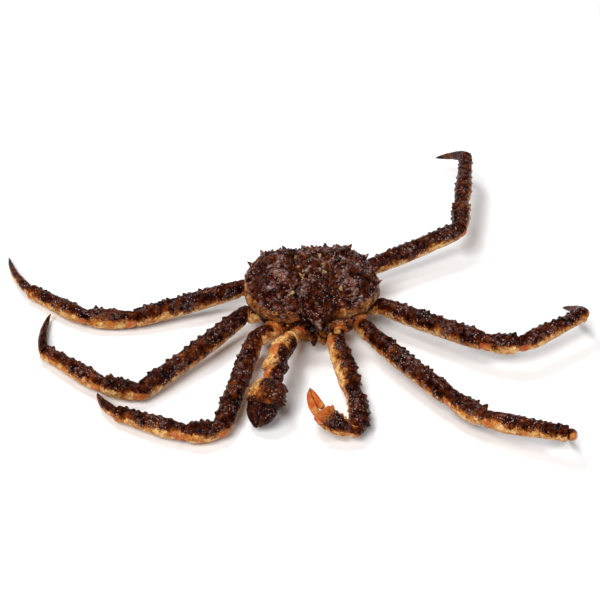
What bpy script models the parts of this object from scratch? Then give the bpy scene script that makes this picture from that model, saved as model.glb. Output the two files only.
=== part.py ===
"""A whole king crab lying at rest, as the closed solids of its shell.

Blender, metres, +Z up. The crab faces -Y and its left side is +X. The origin is on the surface that
it lies on, under the middle of its back, where the flat of the folded tail touches.
Every piece of shell is its own object. A limb piece has its origin at its inner joint and runs along
its own +X with its own +Z up, so its location and rotation are its place in the pose.
"""

import math

import bmesh
import bpy
from mathutils import Euler, Matrix, Vector

MM = 0.001
CLEARANCE = 0.4 * MM
SIDES = 8  # of a limb's cross-section

# The back: its outline is a radius every 20 degrees from the front round to the rear
BACK_RADII = (60, 63, 73, 83, 89, 91, 95, 98, 88, 79)  # mm
BACK_CUTS = 9  # odd, so that a row of corners lies on the margin
MARGIN_Z = 57 * MM
MARGIN_UNDER_Z = 48 * MM
MARGIN_TURN = ((0.985, 0.45), (0.915, 1.0))  # share of the ring above, share of the way down
DOME_HEIGHT = 29 * MM
DOME_FULLNESS = 0.80
# Swellings of the back: x, y, radius and rise in mm; those with an x stand left and right
BACK_REGIONS = ((0, -32, 24, 16), (0, 10, 15, 12), (50, -4, 25, 12), (48, 44, 25, 9), (0, 54, 16, 6))
# Grooves between them: the same, with a fall
BACK_GROOVES = ((18, -10, 11, 9), (22, 16, 11, 8), (0, -10, 9, 6), (66, 22, 12, 6), (16, 38, 9, 5))
SNOUT_LENGTH = 19 * MM
SNOUT_DROP = 7 * MM
SNOUT_TIP = 0.12  # of the size of its root

# Rings of spines on the back: centre x, y, radius in mm and count; the margin has its own row
SPINE_RINGS = ((0, -34, 15, 5), (0, 6, 9, 4), (0, 46, 16, 5), (48, 2, 15, 5), (46, 44, 12, 4))
MARGIN_SPINES = 8  # on each side, with the last one shared at the rear
MARGIN_SPINES_FROM = 45.0  # degrees from the front
MARGIN_SPINE_LEVEL = 0.93
BACK_SPINE = 6.5 * MM
BACK_SPINE_FOOT = 3.8 * MM

# The body under the back, at the height of the shoulders
BODY_RADII = (54, 62, 74, 79, 76, 73, 71, 68, 64, 60)  # mm
BODY_SEGMENTS = 26
BODY_FLOOR_Z = 12 * MM
BODY_RINGS = ((47.6, 0.95), (42, 1.0), (35, 0.99), (26, 0.90), (18, 0.74), (12.4, 0.56))  # z mm, share
SOCKET_SEGMENTS = 10
SOCKET_FLARE = 1.3
TAIL_RADII = (44, 42, 38, 37, 39, 42, 46, 52, 60, 64)  # mm
TAIL_SEGMENTS = 20
TAIL_RINGS = ((11.6, 0.90), (8.5, 1.0), (3.5, 0.97), (0, 0.84))

# Limb pieces from the inner to the outer: length in mm, then heading, pitch and turn in degrees.
# The turn is how far the piece curves towards the side that the limb folds to.
WALKING_PIECES = ("coxa", "merus", "carpus", "propodus", "dactyl")
CLAW_PIECES = ("coxa", "merus", "carpus", "palm")
SHOULDERS = {
    "rear": (60, 38, 33.5), "middle": (66, -12, 33), "front": (57, -48, 32.5), "claw": (28, -58, 32),
}
POSES = {
    "leg_rear_right": (
        (31, 157, -1, 0), (160, -169, -6, 4), (65, 168, 0, 12), (103, 136, -2, 6), (100, 110, -4, 26),
    ),
    "leg_rear_left": (
        (38, 51, 4, 0), (156, 22, 5, 6), (60, 75, 6, 8), (120, 75, 3, 4), (75, 121, -29, 34),
    ),
    "leg_middle_right": (
        (27, 173, 0, 0), (189, -140, -5, 6), (56, 156, 0, 18), (107, 133, -2, 4), (84, 85, -3, 26),
    ),
    "leg_middle_left": (
        (27, -13, 7, 0), (155, -39, 2, 6), (47, -11, 0, 26), (108, 27, 1, 6), (65, 102, -30, 34),
    ),
    "leg_front_right": (
        (30, -153, 1, 0), (159, -111, -6, 2), (49, -180, 0, 40), (94, 149, -2, 6), (53, 115, -8, 30),
    ),
    "leg_front_left": (
        (30, -65, 3, 0), (149, -58, -2, 6), (58, -49, -1, 22), (102, -29, 6, 8), (48, 76, -46, 34),
    ),
    "claw_right": ((24, -126, 9, 0), (59, -109, 24, 4), (32, -109, -22, 0), (69, -117, -31, 0)),
    "claw_left": ((23, -110, -4, 0), (87, -84, -6, -6), (71, -94, -3, -36), (81, 130, 18, -86)),
}
# Half the height of each piece in mm
LEG_GIRTHS = {"coxa": 13.2, "merus": 13.6, "carpus": 13.6, "propodus": 12.8, "dactyl": 8.0}
RIGHT_CLAW_GIRTHS = {"coxa": 11.0, "merus": 14.0, "carpus": 16.0, "palm": 23.5}
LEFT_CLAW_GIRTHS = {"coxa": 10.5, "merus": 14.5, "carpus": 13.5, "palm": 13.0}
GIRTHS = {"claw_right": RIGHT_CLAW_GIRTHS, "claw_left": LEFT_CLAW_GIRTHS}
FLATNESS = 0.92  # half width over half height
# How far the cross-sections of a claw are rolled about its length, in degrees
PALM_ROLLS = {"claw_right": -70, "claw_left": 66}

# Outlines of the shafts: share of the way from the neck to the outer rim, half height as a share of
# the girth
OUTLINES = {
    "coxa": ((0.40, 0.98),),
    "merus": ((0.0, 0.94), (0.17, 1.0), (0.35, 1.03), (0.53, 1.02), (0.71, 1.0), (0.89, 1.03)),
    "carpus": ((0.06, 0.96), (0.42, 1.03), (0.78, 1.0)),
    "propodus": ((0.03, 0.99), (0.22, 1.02), (0.43, 0.94), (0.64, 0.86), (0.86, 0.82)),
    "dactyl": ((0.04, 0.93), (0.27, 0.86), (0.51, 0.68), (0.75, 0.47), (0.92, 0.24)),
}
# Ball joints: the ball's radius as a share of its piece's girth, the degrees of it that the cup of
# the piece before it holds, and how far that cup's rim stands out
BALL_SHARE = {"coxa": 0.80, "merus": 0.86, "carpus": 0.88, "propodus": 0.88, "dactyl": 0.90, "palm": 0.55}
BALL_ANGLES = (38, 88)
NECK_SHARE = 0.94
NECK_AT = 0.62  # of the ball's radius in front of its centre
SHAFT_FROM = 1.15
CUP_ANGLES = {"coxa": 54, "merus": 50, "carpus": 44, "propodus": 36}
CUP_ROOM = 1.12  # so that the flats of the cup clear the corners of the ball
CUP_WALL = 2.0 * MM
RIM_SHARE = {"coxa": 0.62, "merus": 0.78, "carpus": 0.60, "propodus": 0.76}

# Spines of a limb piece: height in mm, and how wide a spine is at its foot
LIMB_SPINES = {"merus": 5.0, "carpus": 4.5, "propodus": 4.0, "palm": 5.0}
SPINE_FOOT = 2.6 * MM
SPINE_ROOM = 0.3  # the most of the space between rings that a foot takes
SPINE_LEAN = 0.35
POINT_SHARE = 0.04

# Claws: shares of the piece's length and girth
PALM_WIDTH = 0.72
PALM_OUTLINES = {
    "claw_right": ((0.14, 0.88), (0.36, 1.0), (0.56, 0.98)),
    "claw_left": ((0.22, 0.84), (0.38, 1.0), (0.56, 0.96)),
}
FINGER_SHARE = {"claw_right": 1.0, "claw_left": 0.76}  # of the palm's girth
FIXED_FINGER = ((0.585, 0.47, -0.47), (0.74, 0.42, -0.44), (0.88, 0.28, -0.31), (1.0, 0.05, -0.08))
MOVING_FINGER = (
    (0.605, 0.26, 0.46), (0.65, 0.38, 0.46), (0.77, 0.37, 0.41), (0.89, 0.25, 0.28), (0.985, 0.05, 0.07),
)

SHELL_BROWN = (0.10, 0.035, 0.022, 1.0)
BELLY_CREAM = (0.62, 0.34, 0.12, 1.0)
JOINT_ORANGE = (0.55, 0.17, 0.03, 1.0)
EYE_BLACK = (0.01, 0.008, 0.007, 1.0)


def clear_scene():
    for obj in list(bpy.data.objects):
        bpy.data.objects.remove(obj)


def new_material(name, colour, roughness):
    material = bpy.data.materials.new(name)
    material.use_nodes = True
    shader = material.node_tree.nodes["Principled BSDF"]
    shader.inputs["Base Color"].default_value = colour
    shader.inputs["Roughness"].default_value = roughness
    shader.inputs["Metallic"].default_value = 0.0
    return material


def new_object(name, bm, material, collection):
    """Turns the faces of a closed mesh outwards and puts it in the scene."""
    bmesh.ops.recalc_face_normals(bm, faces=bm.faces)
    mesh = bpy.data.meshes.new(name)
    bm.to_mesh(mesh)
    bm.free()
    mesh.shade_smooth()
    mesh.set_sharp_from_angle(angle=math.radians(50))
    mesh.materials.append(material)
    obj = bpy.data.objects.new(name, mesh)
    collection.objects.link(obj)
    return obj


def side_of(name):
    return 1 if name.endswith("left") else -1


def smooth_table(values, place):
    """A value between the entries of a table, with level ends at each."""
    low = min(int(place), len(values) - 2)
    share = min(place - low, 1.0)
    ease = share * share * (3 - 2 * share)
    return values[low] * (1 - ease) + values[low + 1] * ease


def outline_radius(radii, direction):
    """A radius at a direction in degrees from the front, the same left and right."""
    return smooth_table(radii, abs(direction) / 180 * (len(radii) - 1)) * MM


def direction_of(x, y):
    return math.degrees(math.atan2(x, -y))


# ---------------------------------------------------------------- spines

def raise_spines(bm, corners, foot, height, lean):
    """Cuts off corners of the cage and draws the cuts out to points that lean that way."""
    cuts = bmesh.ops.bevel(
        bm, geom=corners, offset=foot, offset_type="OFFSET", segments=1, profile=0.5,
        affect="VERTICES", clamp_overlap=True, material=-1,
    )["faces"]
    bm.normal_update()
    for face in cuts:
        tip = bmesh.ops.poke(bm, faces=[face], offset=height)["verts"][0]
        tip.co += lean


def nearest_corners(bm, spots):
    """The corner of the cage nearest each spot, none next to another."""
    free = list(bm.verts)
    corners = []
    for spot in spots:
        corner = min(free, key=lambda vert: (vert.co - spot).length)
        corners.append(corner)
        taken = {edge.other_vert(corner) for edge in corner.link_edges} | {corner}
        free = [vert for vert in free if vert not in taken]
    return corners


# ---------------------------------------------------------------- limb pieces

def centreline(length, turn, distance):
    """The point and yaw at a distance along an arc of that turn, whose ends are length apart on +X."""
    share = min(max(distance / length, 0.0), 1.0)
    yaw = turn * (share - 0.5)
    point = Vector((length * share, 0, 0))
    if abs(turn) > 1e-6:
        radius = length / (2 * math.sin(turn / 2))
        along = radius * (math.sin(yaw) + math.sin(turn / 2))
        point = Vector((along, radius * (math.cos(turn / 2) - math.cos(yaw)), 0))
    beyond = distance - share * length
    return point + beyond * Vector((math.cos(yaw), math.sin(yaw), 0)), yaw


def ring_matrix(length, turn, roll, ring):
    """Takes the unit circle to one cross-section: distance, half width, half height and rise."""
    distance, half_width, half_height, rise = ring
    point, yaw = centreline(length, turn, distance)
    across = Matrix(((0, 0, 1, 0), (1, 0, 0, 0), (0, 1, 0, 0), (0, 0, 0, 1)))
    size = Matrix.Diagonal((half_width, half_height, 1, 1))
    facing = Matrix.Rotation(yaw, 4, "Z") @ Matrix.Rotation(roll, 4, "X")
    return Matrix.Translation(point) @ facing @ Matrix.Translation((0, 0, rise)) @ across @ size


def loft(length, turn, rings, roll=0.0):
    """A closed tube drawn out ring by ring from a circle. Also gives each ring's corners."""
    bm = bmesh.new()
    place = ring_matrix(length, turn, roll, rings[0])
    start = bmesh.ops.create_circle(bm, cap_ends=True, segments=SIDES, radius=1.0, matrix=place)
    cap = start["verts"][0].link_faces[0]
    corners = [list(cap.verts)]
    for ring in rings[1:]:
        cap = bmesh.ops.extrude_discrete_faces(bm, faces=[cap])["faces"][0]
        target = ring_matrix(length, turn, roll, ring)
        bmesh.ops.transform(bm, matrix=target @ place.inverted(), verts=cap.verts)
        place = target
        corners.append(list(cap.verts))
    bmesh.ops.holes_fill(bm, edges=[edge for edge in bm.edges if edge.is_boundary], sides=SIDES)
    bmesh.ops.recalc_face_normals(bm, faces=bm.faces)
    return bm, corners


def ball_rings(ball):
    """The back of a ball joint round the origin, and the neck in front of it."""
    rings = []
    for degrees in BALL_ANGLES:
        angle = math.radians(degrees)
        across = ball * math.sin(angle)
        rings.append((-ball * math.cos(angle), across, across, 0.0))
    return rings


def neck_ring(ball):
    return NECK_AT * ball, NECK_SHARE * ball, NECK_SHARE * ball, 0.0


def shaft_rings(start, end, girth, outline):
    rings = []
    for share, half_height in outline:
        distance = start + share * (end - start)
        rings.append((distance, FLATNESS * half_height * girth, half_height * girth, 0.0))
    return rings


def cup_rings(length, girth, next_ball, kind):
    """The rim and the hollow that holds the next piece's ball, centred on the outer joint."""
    hollow = next_ball * CUP_ROOM + CLEARANCE
    widest = math.radians(CUP_ANGLES[kind])
    depth = hollow * math.cos(widest)
    opening = hollow * math.sin(widest)
    rim = max(opening + CUP_WALL, RIM_SHARE[kind] * girth)
    middle = hollow * math.sin(widest / 2)
    return [
        (length - depth, rim, rim, 0.0),
        (length - depth, opening, opening, 0.0),
        (length - hollow * math.cos(widest / 2), middle, middle, 0.0),
    ]


def spine_feet(rings, top, across):
    """On each ring, the top corner and, on one side and the other in turn, the corner beside it."""
    feet = []
    for number, ring in enumerate(rings):
        middle = sum((vert.co for vert in ring), Vector()) / len(ring)
        beside = top + (across if number % 2 else -across)
        feet.append(max(ring, key=lambda vert: (vert.co - middle).dot(top)))
        feet.append(max(ring, key=lambda vert: (vert.co - middle).dot(beside)))
    return feet


def limb_piece(kind, next_kind, girths, pose, side):
    """One tube of shell: a ball at the inner end, a spiny shaft, and a cup or a point at the outer end."""
    length, turn = pose[0] * MM, side * math.radians(pose[3])
    girth = girths[kind] * MM
    ball = BALL_SHARE[kind] * girth
    outer = [(length, POINT_SHARE * girth, POINT_SHARE * girth, 0.0)]
    if next_kind:
        next_ball = BALL_SHARE[next_kind] * girths[next_kind] * MM
        outer = cup_rings(length, girth, next_ball, kind)
    start, end = SHAFT_FROM * ball, outer[0][0]
    inner = ball_rings(ball) + [neck_ring(ball)]
    bm, corners = loft(length, turn, inner + shaft_rings(start, end, girth, OUTLINES[kind]) + outer)
    if kind in LIMB_SPINES:
        height = LIMB_SPINES[kind] * MM
        shaft = corners[len(inner):len(inner) + len(OUTLINES[kind])]
        foot = min(SPINE_FOOT, SPINE_ROOM * (end - start) / len(shaft))
        feet = spine_feet(shaft, Vector((0, 0, 1)), Vector((0, side, 0)))
        raise_spines(bm, feet, foot, height, Vector((SPINE_LEAN * height, 0, 0)))
    return bm


def outer_end(location, pose):
    length, heading, pitch = pose[0] * MM, math.radians(pose[1]), math.radians(pose[2])
    level = math.cos(pitch)
    way = Vector((level * math.cos(heading), level * math.sin(heading), math.sin(pitch)))
    return location + length * way


def set_place(obj, location, pose):
    obj.location = location
    obj.rotation_euler = (0.0, -math.radians(pose[2]), math.radians(pose[1]))


def shoulder_of(name):
    x, y, z = SHOULDERS["claw" if name.startswith("claw") else name.split("_")[1]]
    return Vector((side_of(name) * x, y, z)) * MM


def girths_of(name):
    return GIRTHS.get(name, LEG_GIRTHS)


def make_limb(name, shell, joint, collection):
    """A whole limb from its shoulder outwards."""
    kinds = CLAW_PIECES if name.startswith("claw") else WALKING_PIECES
    location = shoulder_of(name)
    for number, (kind, pose) in enumerate(zip(kinds, POSES[name])):
        if kind == "palm":
            make_claw(name, pose, location, shell, collection)
            continue
        next_kind = kinds[number + 1] if number + 1 < len(kinds) else None
        bm = limb_piece(kind, next_kind, girths_of(name), pose, side_of(name))
        piece = new_object(f"{name}_{kind}", bm, joint if kind == "coxa" else shell, collection)
        set_place(piece, location, pose)
        location = outer_end(location, pose)


# ---------------------------------------------------------------- claws

def finger_rings(length, girth, outline):
    return [
        (share * length, 0.88 * half * girth, half * girth, rise * girth)
        for share, half, rise in outline
    ]


def make_claw(name, pose, location, shell, collection):
    """The palm, which steps down to its fixed finger, and the moving finger above it."""
    length, turn = pose[0] * MM, side_of(name) * math.radians(pose[3])
    girth = girths_of(name)["palm"] * MM
    ball = BALL_SHARE["palm"] * girth
    rings = ball_rings(ball) + [neck_ring(ball)]
    first = len(rings)
    for share, half_height in PALM_OUTLINES[name]:
        rings.append((share * length, PALM_WIDTH * half_height * girth, half_height * girth, 0.0))
    roll = math.radians(PALM_ROLLS[name])
    thickness = FINGER_SHARE[name] * girth
    palm, corners = loft(length, turn, rings + finger_rings(length, thickness, FIXED_FINGER), roll)
    shaft = corners[first:first + len(PALM_OUTLINES[name]) - 1]
    feet = spine_feet(shaft, Vector((0, 0, 1)), Vector((0, 1, 0)))
    raise_spines(palm, feet, SPINE_FOOT, LIMB_SPINES["palm"] * MM, Vector((0, 0, 0)))
    finger, _ = loft(length, turn, finger_rings(length, thickness, MOVING_FINGER), roll)
    for label, bm in (("palm", palm), ("finger", finger)):
        set_place(new_object(f"{name}_{label}", bm, shell, collection), location, pose)


# ---------------------------------------------------------------- body

def swelling(x, y, places):
    total = 0.0
    for centre_x, centre_y, radius, rise in places:
        for mirrored in {centre_x, -centre_x}:
            away = math.hypot(x / MM - mirrored, y / MM - centre_y) / radius
            total += rise * MM * math.exp(-away * away)
    return total


def back_height(x, y):
    """The height of the back over a point inside its outline."""
    level = min(1.0, math.hypot(x, y) / outline_radius(BACK_RADII, direction_of(x, y)))
    lift = math.sqrt(1 - level * level)
    relief = swelling(x, y, BACK_REGIONS) - swelling(x, y, BACK_GROOVES)
    return MARGIN_Z + DOME_HEIGHT * lift ** DOME_FULLNESS + relief * lift ** 0.5


def dome(cuts):
    """The upper half of a ball made from a cube's squares, closed below by one face."""
    bm = bmesh.new()
    bmesh.ops.create_cube(bm, size=2.0)
    bmesh.ops.subdivide_edges(bm, edges=bm.edges, cuts=cuts, use_grid_fill=True)
    for vert in bm.verts:
        vert.co = Vector([math.tan(value * math.pi / 4) for value in vert.co]).normalized()
    everything = bm.verts[:] + bm.edges[:] + bm.faces[:]
    bmesh.ops.bisect_plane(
        bm, geom=everything, dist=1e-5, plane_co=(0, 0, 0), plane_no=(0, 0, -1), clear_outer=True,
    )
    boundary = [edge for edge in bm.edges if edge.is_boundary]
    floor = bmesh.ops.holes_fill(bm, edges=boundary, sides=0)["faces"][0]
    return bm, floor


def back_spots():
    """Where the spines of the back stand."""
    flat = []
    for number in range(MARGIN_SPINES):
        direction = MARGIN_SPINES_FROM + number * (180 - MARGIN_SPINES_FROM) / (MARGIN_SPINES - 1)
        radius = MARGIN_SPINE_LEVEL * outline_radius(BACK_RADII, direction)
        x, y = radius * math.sin(math.radians(direction)), -radius * math.cos(math.radians(direction))
        flat += [(x, y), (-x, y)] if number < MARGIN_SPINES - 1 else [(0, y)]
    for centre_x, centre_y, radius, count in SPINE_RINGS:
        for mirrored in sorted({centre_x, -centre_x}):
            for number in range(count):
                angle = math.tau * (number + 0.5) / count
                x = mirrored + radius * math.cos(angle)
                flat.append((x * MM, (centre_y + radius * math.sin(angle)) * MM))
    return [Vector((x, y, back_height(x, y))) for x, y in flat]


def draw_snout(bm):
    """Draws the faces round the front of the margin out to the snout's blunt tip."""
    front = Vector((0, -outline_radius(BACK_RADII, 0), MARGIN_Z))
    corner = min(bm.verts, key=lambda vert: (vert.co - front).length)
    patch = list(corner.link_faces)
    drawn = bmesh.ops.extrude_face_region(bm, geom=patch)["geom"]
    bmesh.ops.delete(bm, geom=[face for face in patch if face.is_valid], context="FACES")
    verts = [item for item in drawn if isinstance(item, bmesh.types.BMVert)]
    tip = front + Vector((0, -SNOUT_LENGTH, -SNOUT_DROP))
    for vert in verts:
        vert.co = tip + (vert.co - front) * SNOUT_TIP


def make_carapace(shell, collection):
    """The domed back with its swellings, a margin that turns under, spines, and the snout at the front."""
    bm, floor = dome(BACK_CUTS)
    for vert in bm.verts:
        level = math.hypot(vert.co.x, vert.co.y)
        radius = outline_radius(BACK_RADII, direction_of(vert.co.x, vert.co.y))
        x, y = vert.co.x * radius, vert.co.y * radius
        vert.co = Vector((x, y, back_height(x, y) if level < 0.9999 else MARGIN_Z))
    for share, down in MARGIN_TURN:
        floor = bmesh.ops.extrude_discrete_faces(bm, faces=[floor])["faces"][0]
        z = MARGIN_Z + (MARGIN_UNDER_Z - MARGIN_Z) * down
        for vert in floor.verts:
            vert.co = Vector((vert.co.x * share, vert.co.y * share, z))
    bmesh.ops.recalc_face_normals(bm, faces=bm.faces)
    draw_snout(bm)
    raise_spines(bm, nearest_corners(bm, back_spots()), BACK_SPINE_FOOT, BACK_SPINE, Vector((0, 0, MM)))
    return new_object("carapace", bm, shell, collection)


def stack(radii, segments, rings):
    """A closed solid of outlines one under another, from the top down."""
    bm = bmesh.new()
    start = bmesh.ops.create_circle(bm, cap_ends=True, segments=segments, radius=1.0)
    cap = start["verts"][0].link_faces[0]
    for number, (z, share) in enumerate(rings):
        if number:
            cap = bmesh.ops.extrude_discrete_faces(bm, faces=[cap])["faces"][0]
        for vert in cap.verts:
            direction = math.atan2(vert.co.x, -vert.co.y)
            radius = share * outline_radius(radii, math.degrees(direction))
            vert.co = Vector((radius * math.sin(direction), -radius * math.cos(direction), z * MM))
    bmesh.ops.holes_fill(bm, edges=[edge for edge in bm.edges if edge.is_boundary], sides=segments)
    return bm


def make_socket_cutter(name, belly, cutters):
    """A drum that stands in the body along a limb's first piece."""
    girth = girths_of(name)["coxa"] * MM
    room = (BALL_SHARE["coxa"] * girth + CLEARANCE) / math.cos(math.pi / SOCKET_SEGMENTS) + CLEARANCE
    outwards = Euler((0, math.radians(90 - POSES[name][0][2]), math.radians(POSES[name][0][1])))
    depth = 3 * room
    bm = bmesh.new()
    place = outwards.to_matrix().to_4x4() @ Matrix.Translation((0, 0, depth / 2 - room))
    bmesh.ops.create_cone(
        bm, cap_ends=True, segments=SOCKET_SEGMENTS, radius1=room, radius2=SOCKET_FLARE * room,
        depth=depth, matrix=place,
    )
    cutter = new_object(f"socket_{name}", bm, belly, cutters)
    cutter.location = shoulder_of(name)
    cutter.hide_render = True
    cutter.display_type = "WIRE"


def make_underbody(belly, collection, cutters):
    """The breast and cheeks, with a socket for each limb."""
    body = new_object("underbody", stack(BODY_RADII, BODY_SEGMENTS, BODY_RINGS), belly, collection)
    for name in POSES:
        make_socket_cutter(name, belly, cutters)
    sockets = body.modifiers.new("sockets", "BOOLEAN")
    sockets.operation = "DIFFERENCE"
    sockets.operand_type = "COLLECTION"
    sockets.collection = cutters


def make_tail(belly, collection):
    """The tail, folded flat under the breast. Its underside is the flat that the crab lies on."""
    new_object("tail_flap", stack(TAIL_RADII, TAIL_SEGMENTS, TAIL_RINGS), belly, collection)


# ---------------------------------------------------------------- face

def make_face_piece(name, place, pose, rings, material, collection):
    """A small tapered piece of the face: rings of distance and radius in mm, heading and pitch."""
    length = rings[-1][0] * MM
    bm, _ = loft(length, 0.0, [(at * MM, radius * MM, radius * MM, 0.0) for at, radius in rings])
    piece = new_object(name, bm, material, collection)
    piece.location = Vector(place) * MM
    piece.rotation_euler = (0.0, -math.radians(pose[1]), math.radians(pose[0]))


def make_face(shell, eye, collection):
    """Eyes on short stalks, the stubs of the feelers, and the jaw legs that hang under the mouth."""
    for label, side in (("left", 1), ("right", -1)):
        turn = -90 + side * 6
        eye_rings = ((0, 2.2), (6.5, 2.0), (8.5, 3.3), (11.5, 3.1), (13.2, 1.4))
        feeler_rings = ((0, 2.8), (5, 3.0), (11, 2.4), (18, 1.2))
        jaw_rings = ((0, 3.4), (4, 5.0), (11, 5.2), (17, 4.0), (22, 2.0))
        eye_place = (side * 7.8, -57, 43.8)
        feeler_place = (side * 14.9, -58.5, 44.4)
        jaw_place = (side * 6.5, -60.5, 38)
        make_face_piece(f"eye_{label}", eye_place, (turn, 12), eye_rings, eye, collection)
        make_face_piece(f"feeler_{label}", feeler_place, (turn, 0), feeler_rings, shell, collection)
        make_face_piece(f"jaw_{label}", jaw_place, (-90, -72), jaw_rings, shell, collection)


def main():
    clear_scene()
    crab = bpy.data.collections.new("king_crab")
    cutters = bpy.data.collections.new("cutters")
    bpy.context.scene.collection.children.link(crab)
    bpy.context.scene.collection.children.link(cutters)
    shell = new_material("shell", SHELL_BROWN, 0.45)
    belly = new_material("belly", BELLY_CREAM, 0.5)
    joint = new_material("joint", JOINT_ORANGE, 0.45)
    eye = new_material("eye", EYE_BLACK, 0.2)
    make_carapace(shell, crab)
    make_underbody(belly, crab, cutters)
    make_tail(belly, crab)
    for name in POSES:
        make_limb(name, shell, joint, crab)
    make_face(shell, eye, crab)


main()
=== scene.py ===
"""A whole raw king crab: the looks that stand round its solids.

Every length is in metres unless a name says mm, in the frame of the solids: the crab faces -Y, its
left side is +X, and the origin is on the surface that it lies on.
"""

import math
import random

import bmesh
import bpy
from mathutils import Matrix, Vector, noise
from mathutils.kdtree import KDTree


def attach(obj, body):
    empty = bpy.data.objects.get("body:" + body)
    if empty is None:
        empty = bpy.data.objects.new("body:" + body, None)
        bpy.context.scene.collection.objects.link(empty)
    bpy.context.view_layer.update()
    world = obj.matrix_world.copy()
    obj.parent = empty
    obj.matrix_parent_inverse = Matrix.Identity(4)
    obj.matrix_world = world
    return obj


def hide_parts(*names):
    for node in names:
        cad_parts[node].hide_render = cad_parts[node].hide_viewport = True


bl_info = {
    "name": "Whole King Crab",
    "version": (1, 0, 0),
    "blender": (4, 5, 0),
    "location": "View3D > Sidebar > Crab",
    "description": "Makes a spiny, wet-shelled king crab piece by piece",
    "category": "Mesh",
}

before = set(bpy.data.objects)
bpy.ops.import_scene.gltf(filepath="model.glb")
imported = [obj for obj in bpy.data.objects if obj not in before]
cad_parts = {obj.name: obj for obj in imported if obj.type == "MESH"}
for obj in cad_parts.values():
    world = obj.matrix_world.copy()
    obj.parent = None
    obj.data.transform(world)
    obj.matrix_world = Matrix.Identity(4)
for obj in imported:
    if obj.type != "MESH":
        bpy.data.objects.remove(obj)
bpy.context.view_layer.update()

MM = 0.001

# ---------------------------------------------------------------- sizes shared with the solids

BACK_RADII = (60, 63, 73, 83, 89, 91, 95, 98, 88, 79)  # mm, every 20 degrees from the front
MARGIN_Z = 57 * MM
MARGIN_UNDER_Z = 48 * MM
DOME_HEIGHT = 29 * MM
DOME_FULLNESS = 0.80
# Swellings of the back: x, y, radius and rise in mm. The right side mirrors the left.
BACK_REGIONS = ((0, -32, 24, 16), (0, 10, 15, 12), (50, -4, 25, 12), (48, 44, 25, 9), (0, 54, 16, 6))
# Hollows between them: the same
BACK_GROOVES = ((18, -10, 11, 9), (22, 16, 11, 8), (0, -10, 9, 6), (66, 22, 12, 6), (16, 38, 9, 5))
SNOUT_LENGTH = 19 * MM
SNOUT_DROP = 7 * MM
MARGIN_SPINES = 8
MARGIN_SPINES_FROM = 45.0  # degrees from the front
FRONT_SPINES = 4  # small ones on the margin between the snout and those

# The outlines of the body and of the tail: radii in mm, every 20 degrees from the front, and rings,
# each a height in mm and the share of those radii there
BODY_RADII = (54, 62, 74, 79, 76, 73, 71, 68, 64, 60)
BODY_RINGS = ((47.6, 0.95), (42, 1.0), (35, 0.99), (26, 0.90), (18, 0.74), (12.4, 0.56))
TAIL_RADII = (44, 42, 38, 37, 39, 42, 46, 52, 60, 64)
TAIL_RINGS = ((11.6, 0.90), (8.5, 1.0), (3.5, 0.97), (0, 0.84))

WALKING_PIECES = ("coxa", "merus", "carpus", "propodus", "dactyl")
CLAW_PIECES = ("coxa", "merus", "carpus", "palm")
# Where each limb leaves the left side of the body: x, y and z in mm
SHOULDERS = {
    "rear": (60, 38, 33.5),
    "middle": (66, -12, 33),
    "front": (57, -48, 32.5),
    "claw": (28, -58, 32),
}
# The pieces of each limb from the shoulder outwards: length in mm, then heading, pitch and bend in
# degrees
POSES = {
    "leg_rear_right": (
        (31, 157, -1, 0), (160, -169, -6, 4), (65, 168, 0, 12), (103, 136, -2, 6), (100, 110, -4, 26),
    ),
    "leg_rear_left": (
        (38, 51, 4, 0), (156, 22, 5, 6), (60, 75, 6, 8), (120, 75, 3, 4), (75, 121, -29, 34),
    ),
    "leg_middle_right": (
        (27, 173, 0, 0), (189, -140, -5, 6), (56, 156, 0, 18), (107, 133, -2, 4), (84, 85, -3, 26),
    ),
    "leg_middle_left": (
        (27, -13, 7, 0), (155, -39, 2, 6), (47, -11, 0, 26), (108, 27, 1, 6), (65, 102, -30, 34),
    ),
    "leg_front_right": (
        (30, -153, 1, 0), (159, -111, -6, 2), (49, -180, 0, 40), (94, 149, -2, 6), (53, 115, -8, 30),
    ),
    "leg_front_left": (
        (30, -65, 3, 0), (149, -58, -2, 6), (58, -49, -1, 22), (102, -29, 6, 8), (48, 76, -46, 34),
    ),
    "claw_right": ((24, -126, 9, 0), (59, -109, 24, 4), (32, -109, -22, 0), (69, -117, -31, 0)),
    "claw_left": ((23, -110, -4, 0), (87, -84, -6, -6), (71, -94, -3, -36), (81, 130, 18, -86)),
}
# Half the height of each piece, in mm
LEG_GIRTHS = {"coxa": 13.2, "merus": 13.6, "carpus": 13.6, "propodus": 12.8, "dactyl": 8.0}
RIGHT_CLAW_GIRTHS = {"coxa": 11.0, "merus": 14.0, "carpus": 16.0, "palm": 23.5}
LEFT_CLAW_GIRTHS = {"coxa": 10.5, "merus": 14.5, "carpus": 13.5, "palm": 13.0}
GIRTHS = {"claw_right": RIGHT_CLAW_GIRTHS, "claw_left": LEFT_CLAW_GIRTHS}
FLATNESS = 0.92  # a piece's width, as a share of its height
# How far the cross-sections of a claw are rolled about its length, in degrees
PALM_ROLLS = {"claw_right": -70, "claw_left": 66}
# The shaft of each piece: share of its length, and half its height as a share of the girth
OUTLINES = {
    "coxa": ((0.40, 0.98),),
    "merus": ((0.0, 0.94), (0.17, 1.0), (0.35, 1.03), (0.53, 1.02), (0.71, 1.0), (0.89, 1.03)),
    "carpus": ((0.06, 0.96), (0.42, 1.03), (0.78, 1.0)),
    "propodus": ((0.03, 0.99), (0.22, 1.02), (0.43, 0.94), (0.64, 0.86), (0.86, 0.82)),
    "dactyl": ((0.04, 0.93), (0.27, 0.86), (0.51, 0.68), (0.75, 0.47), (0.92, 0.24)),
}
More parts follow.
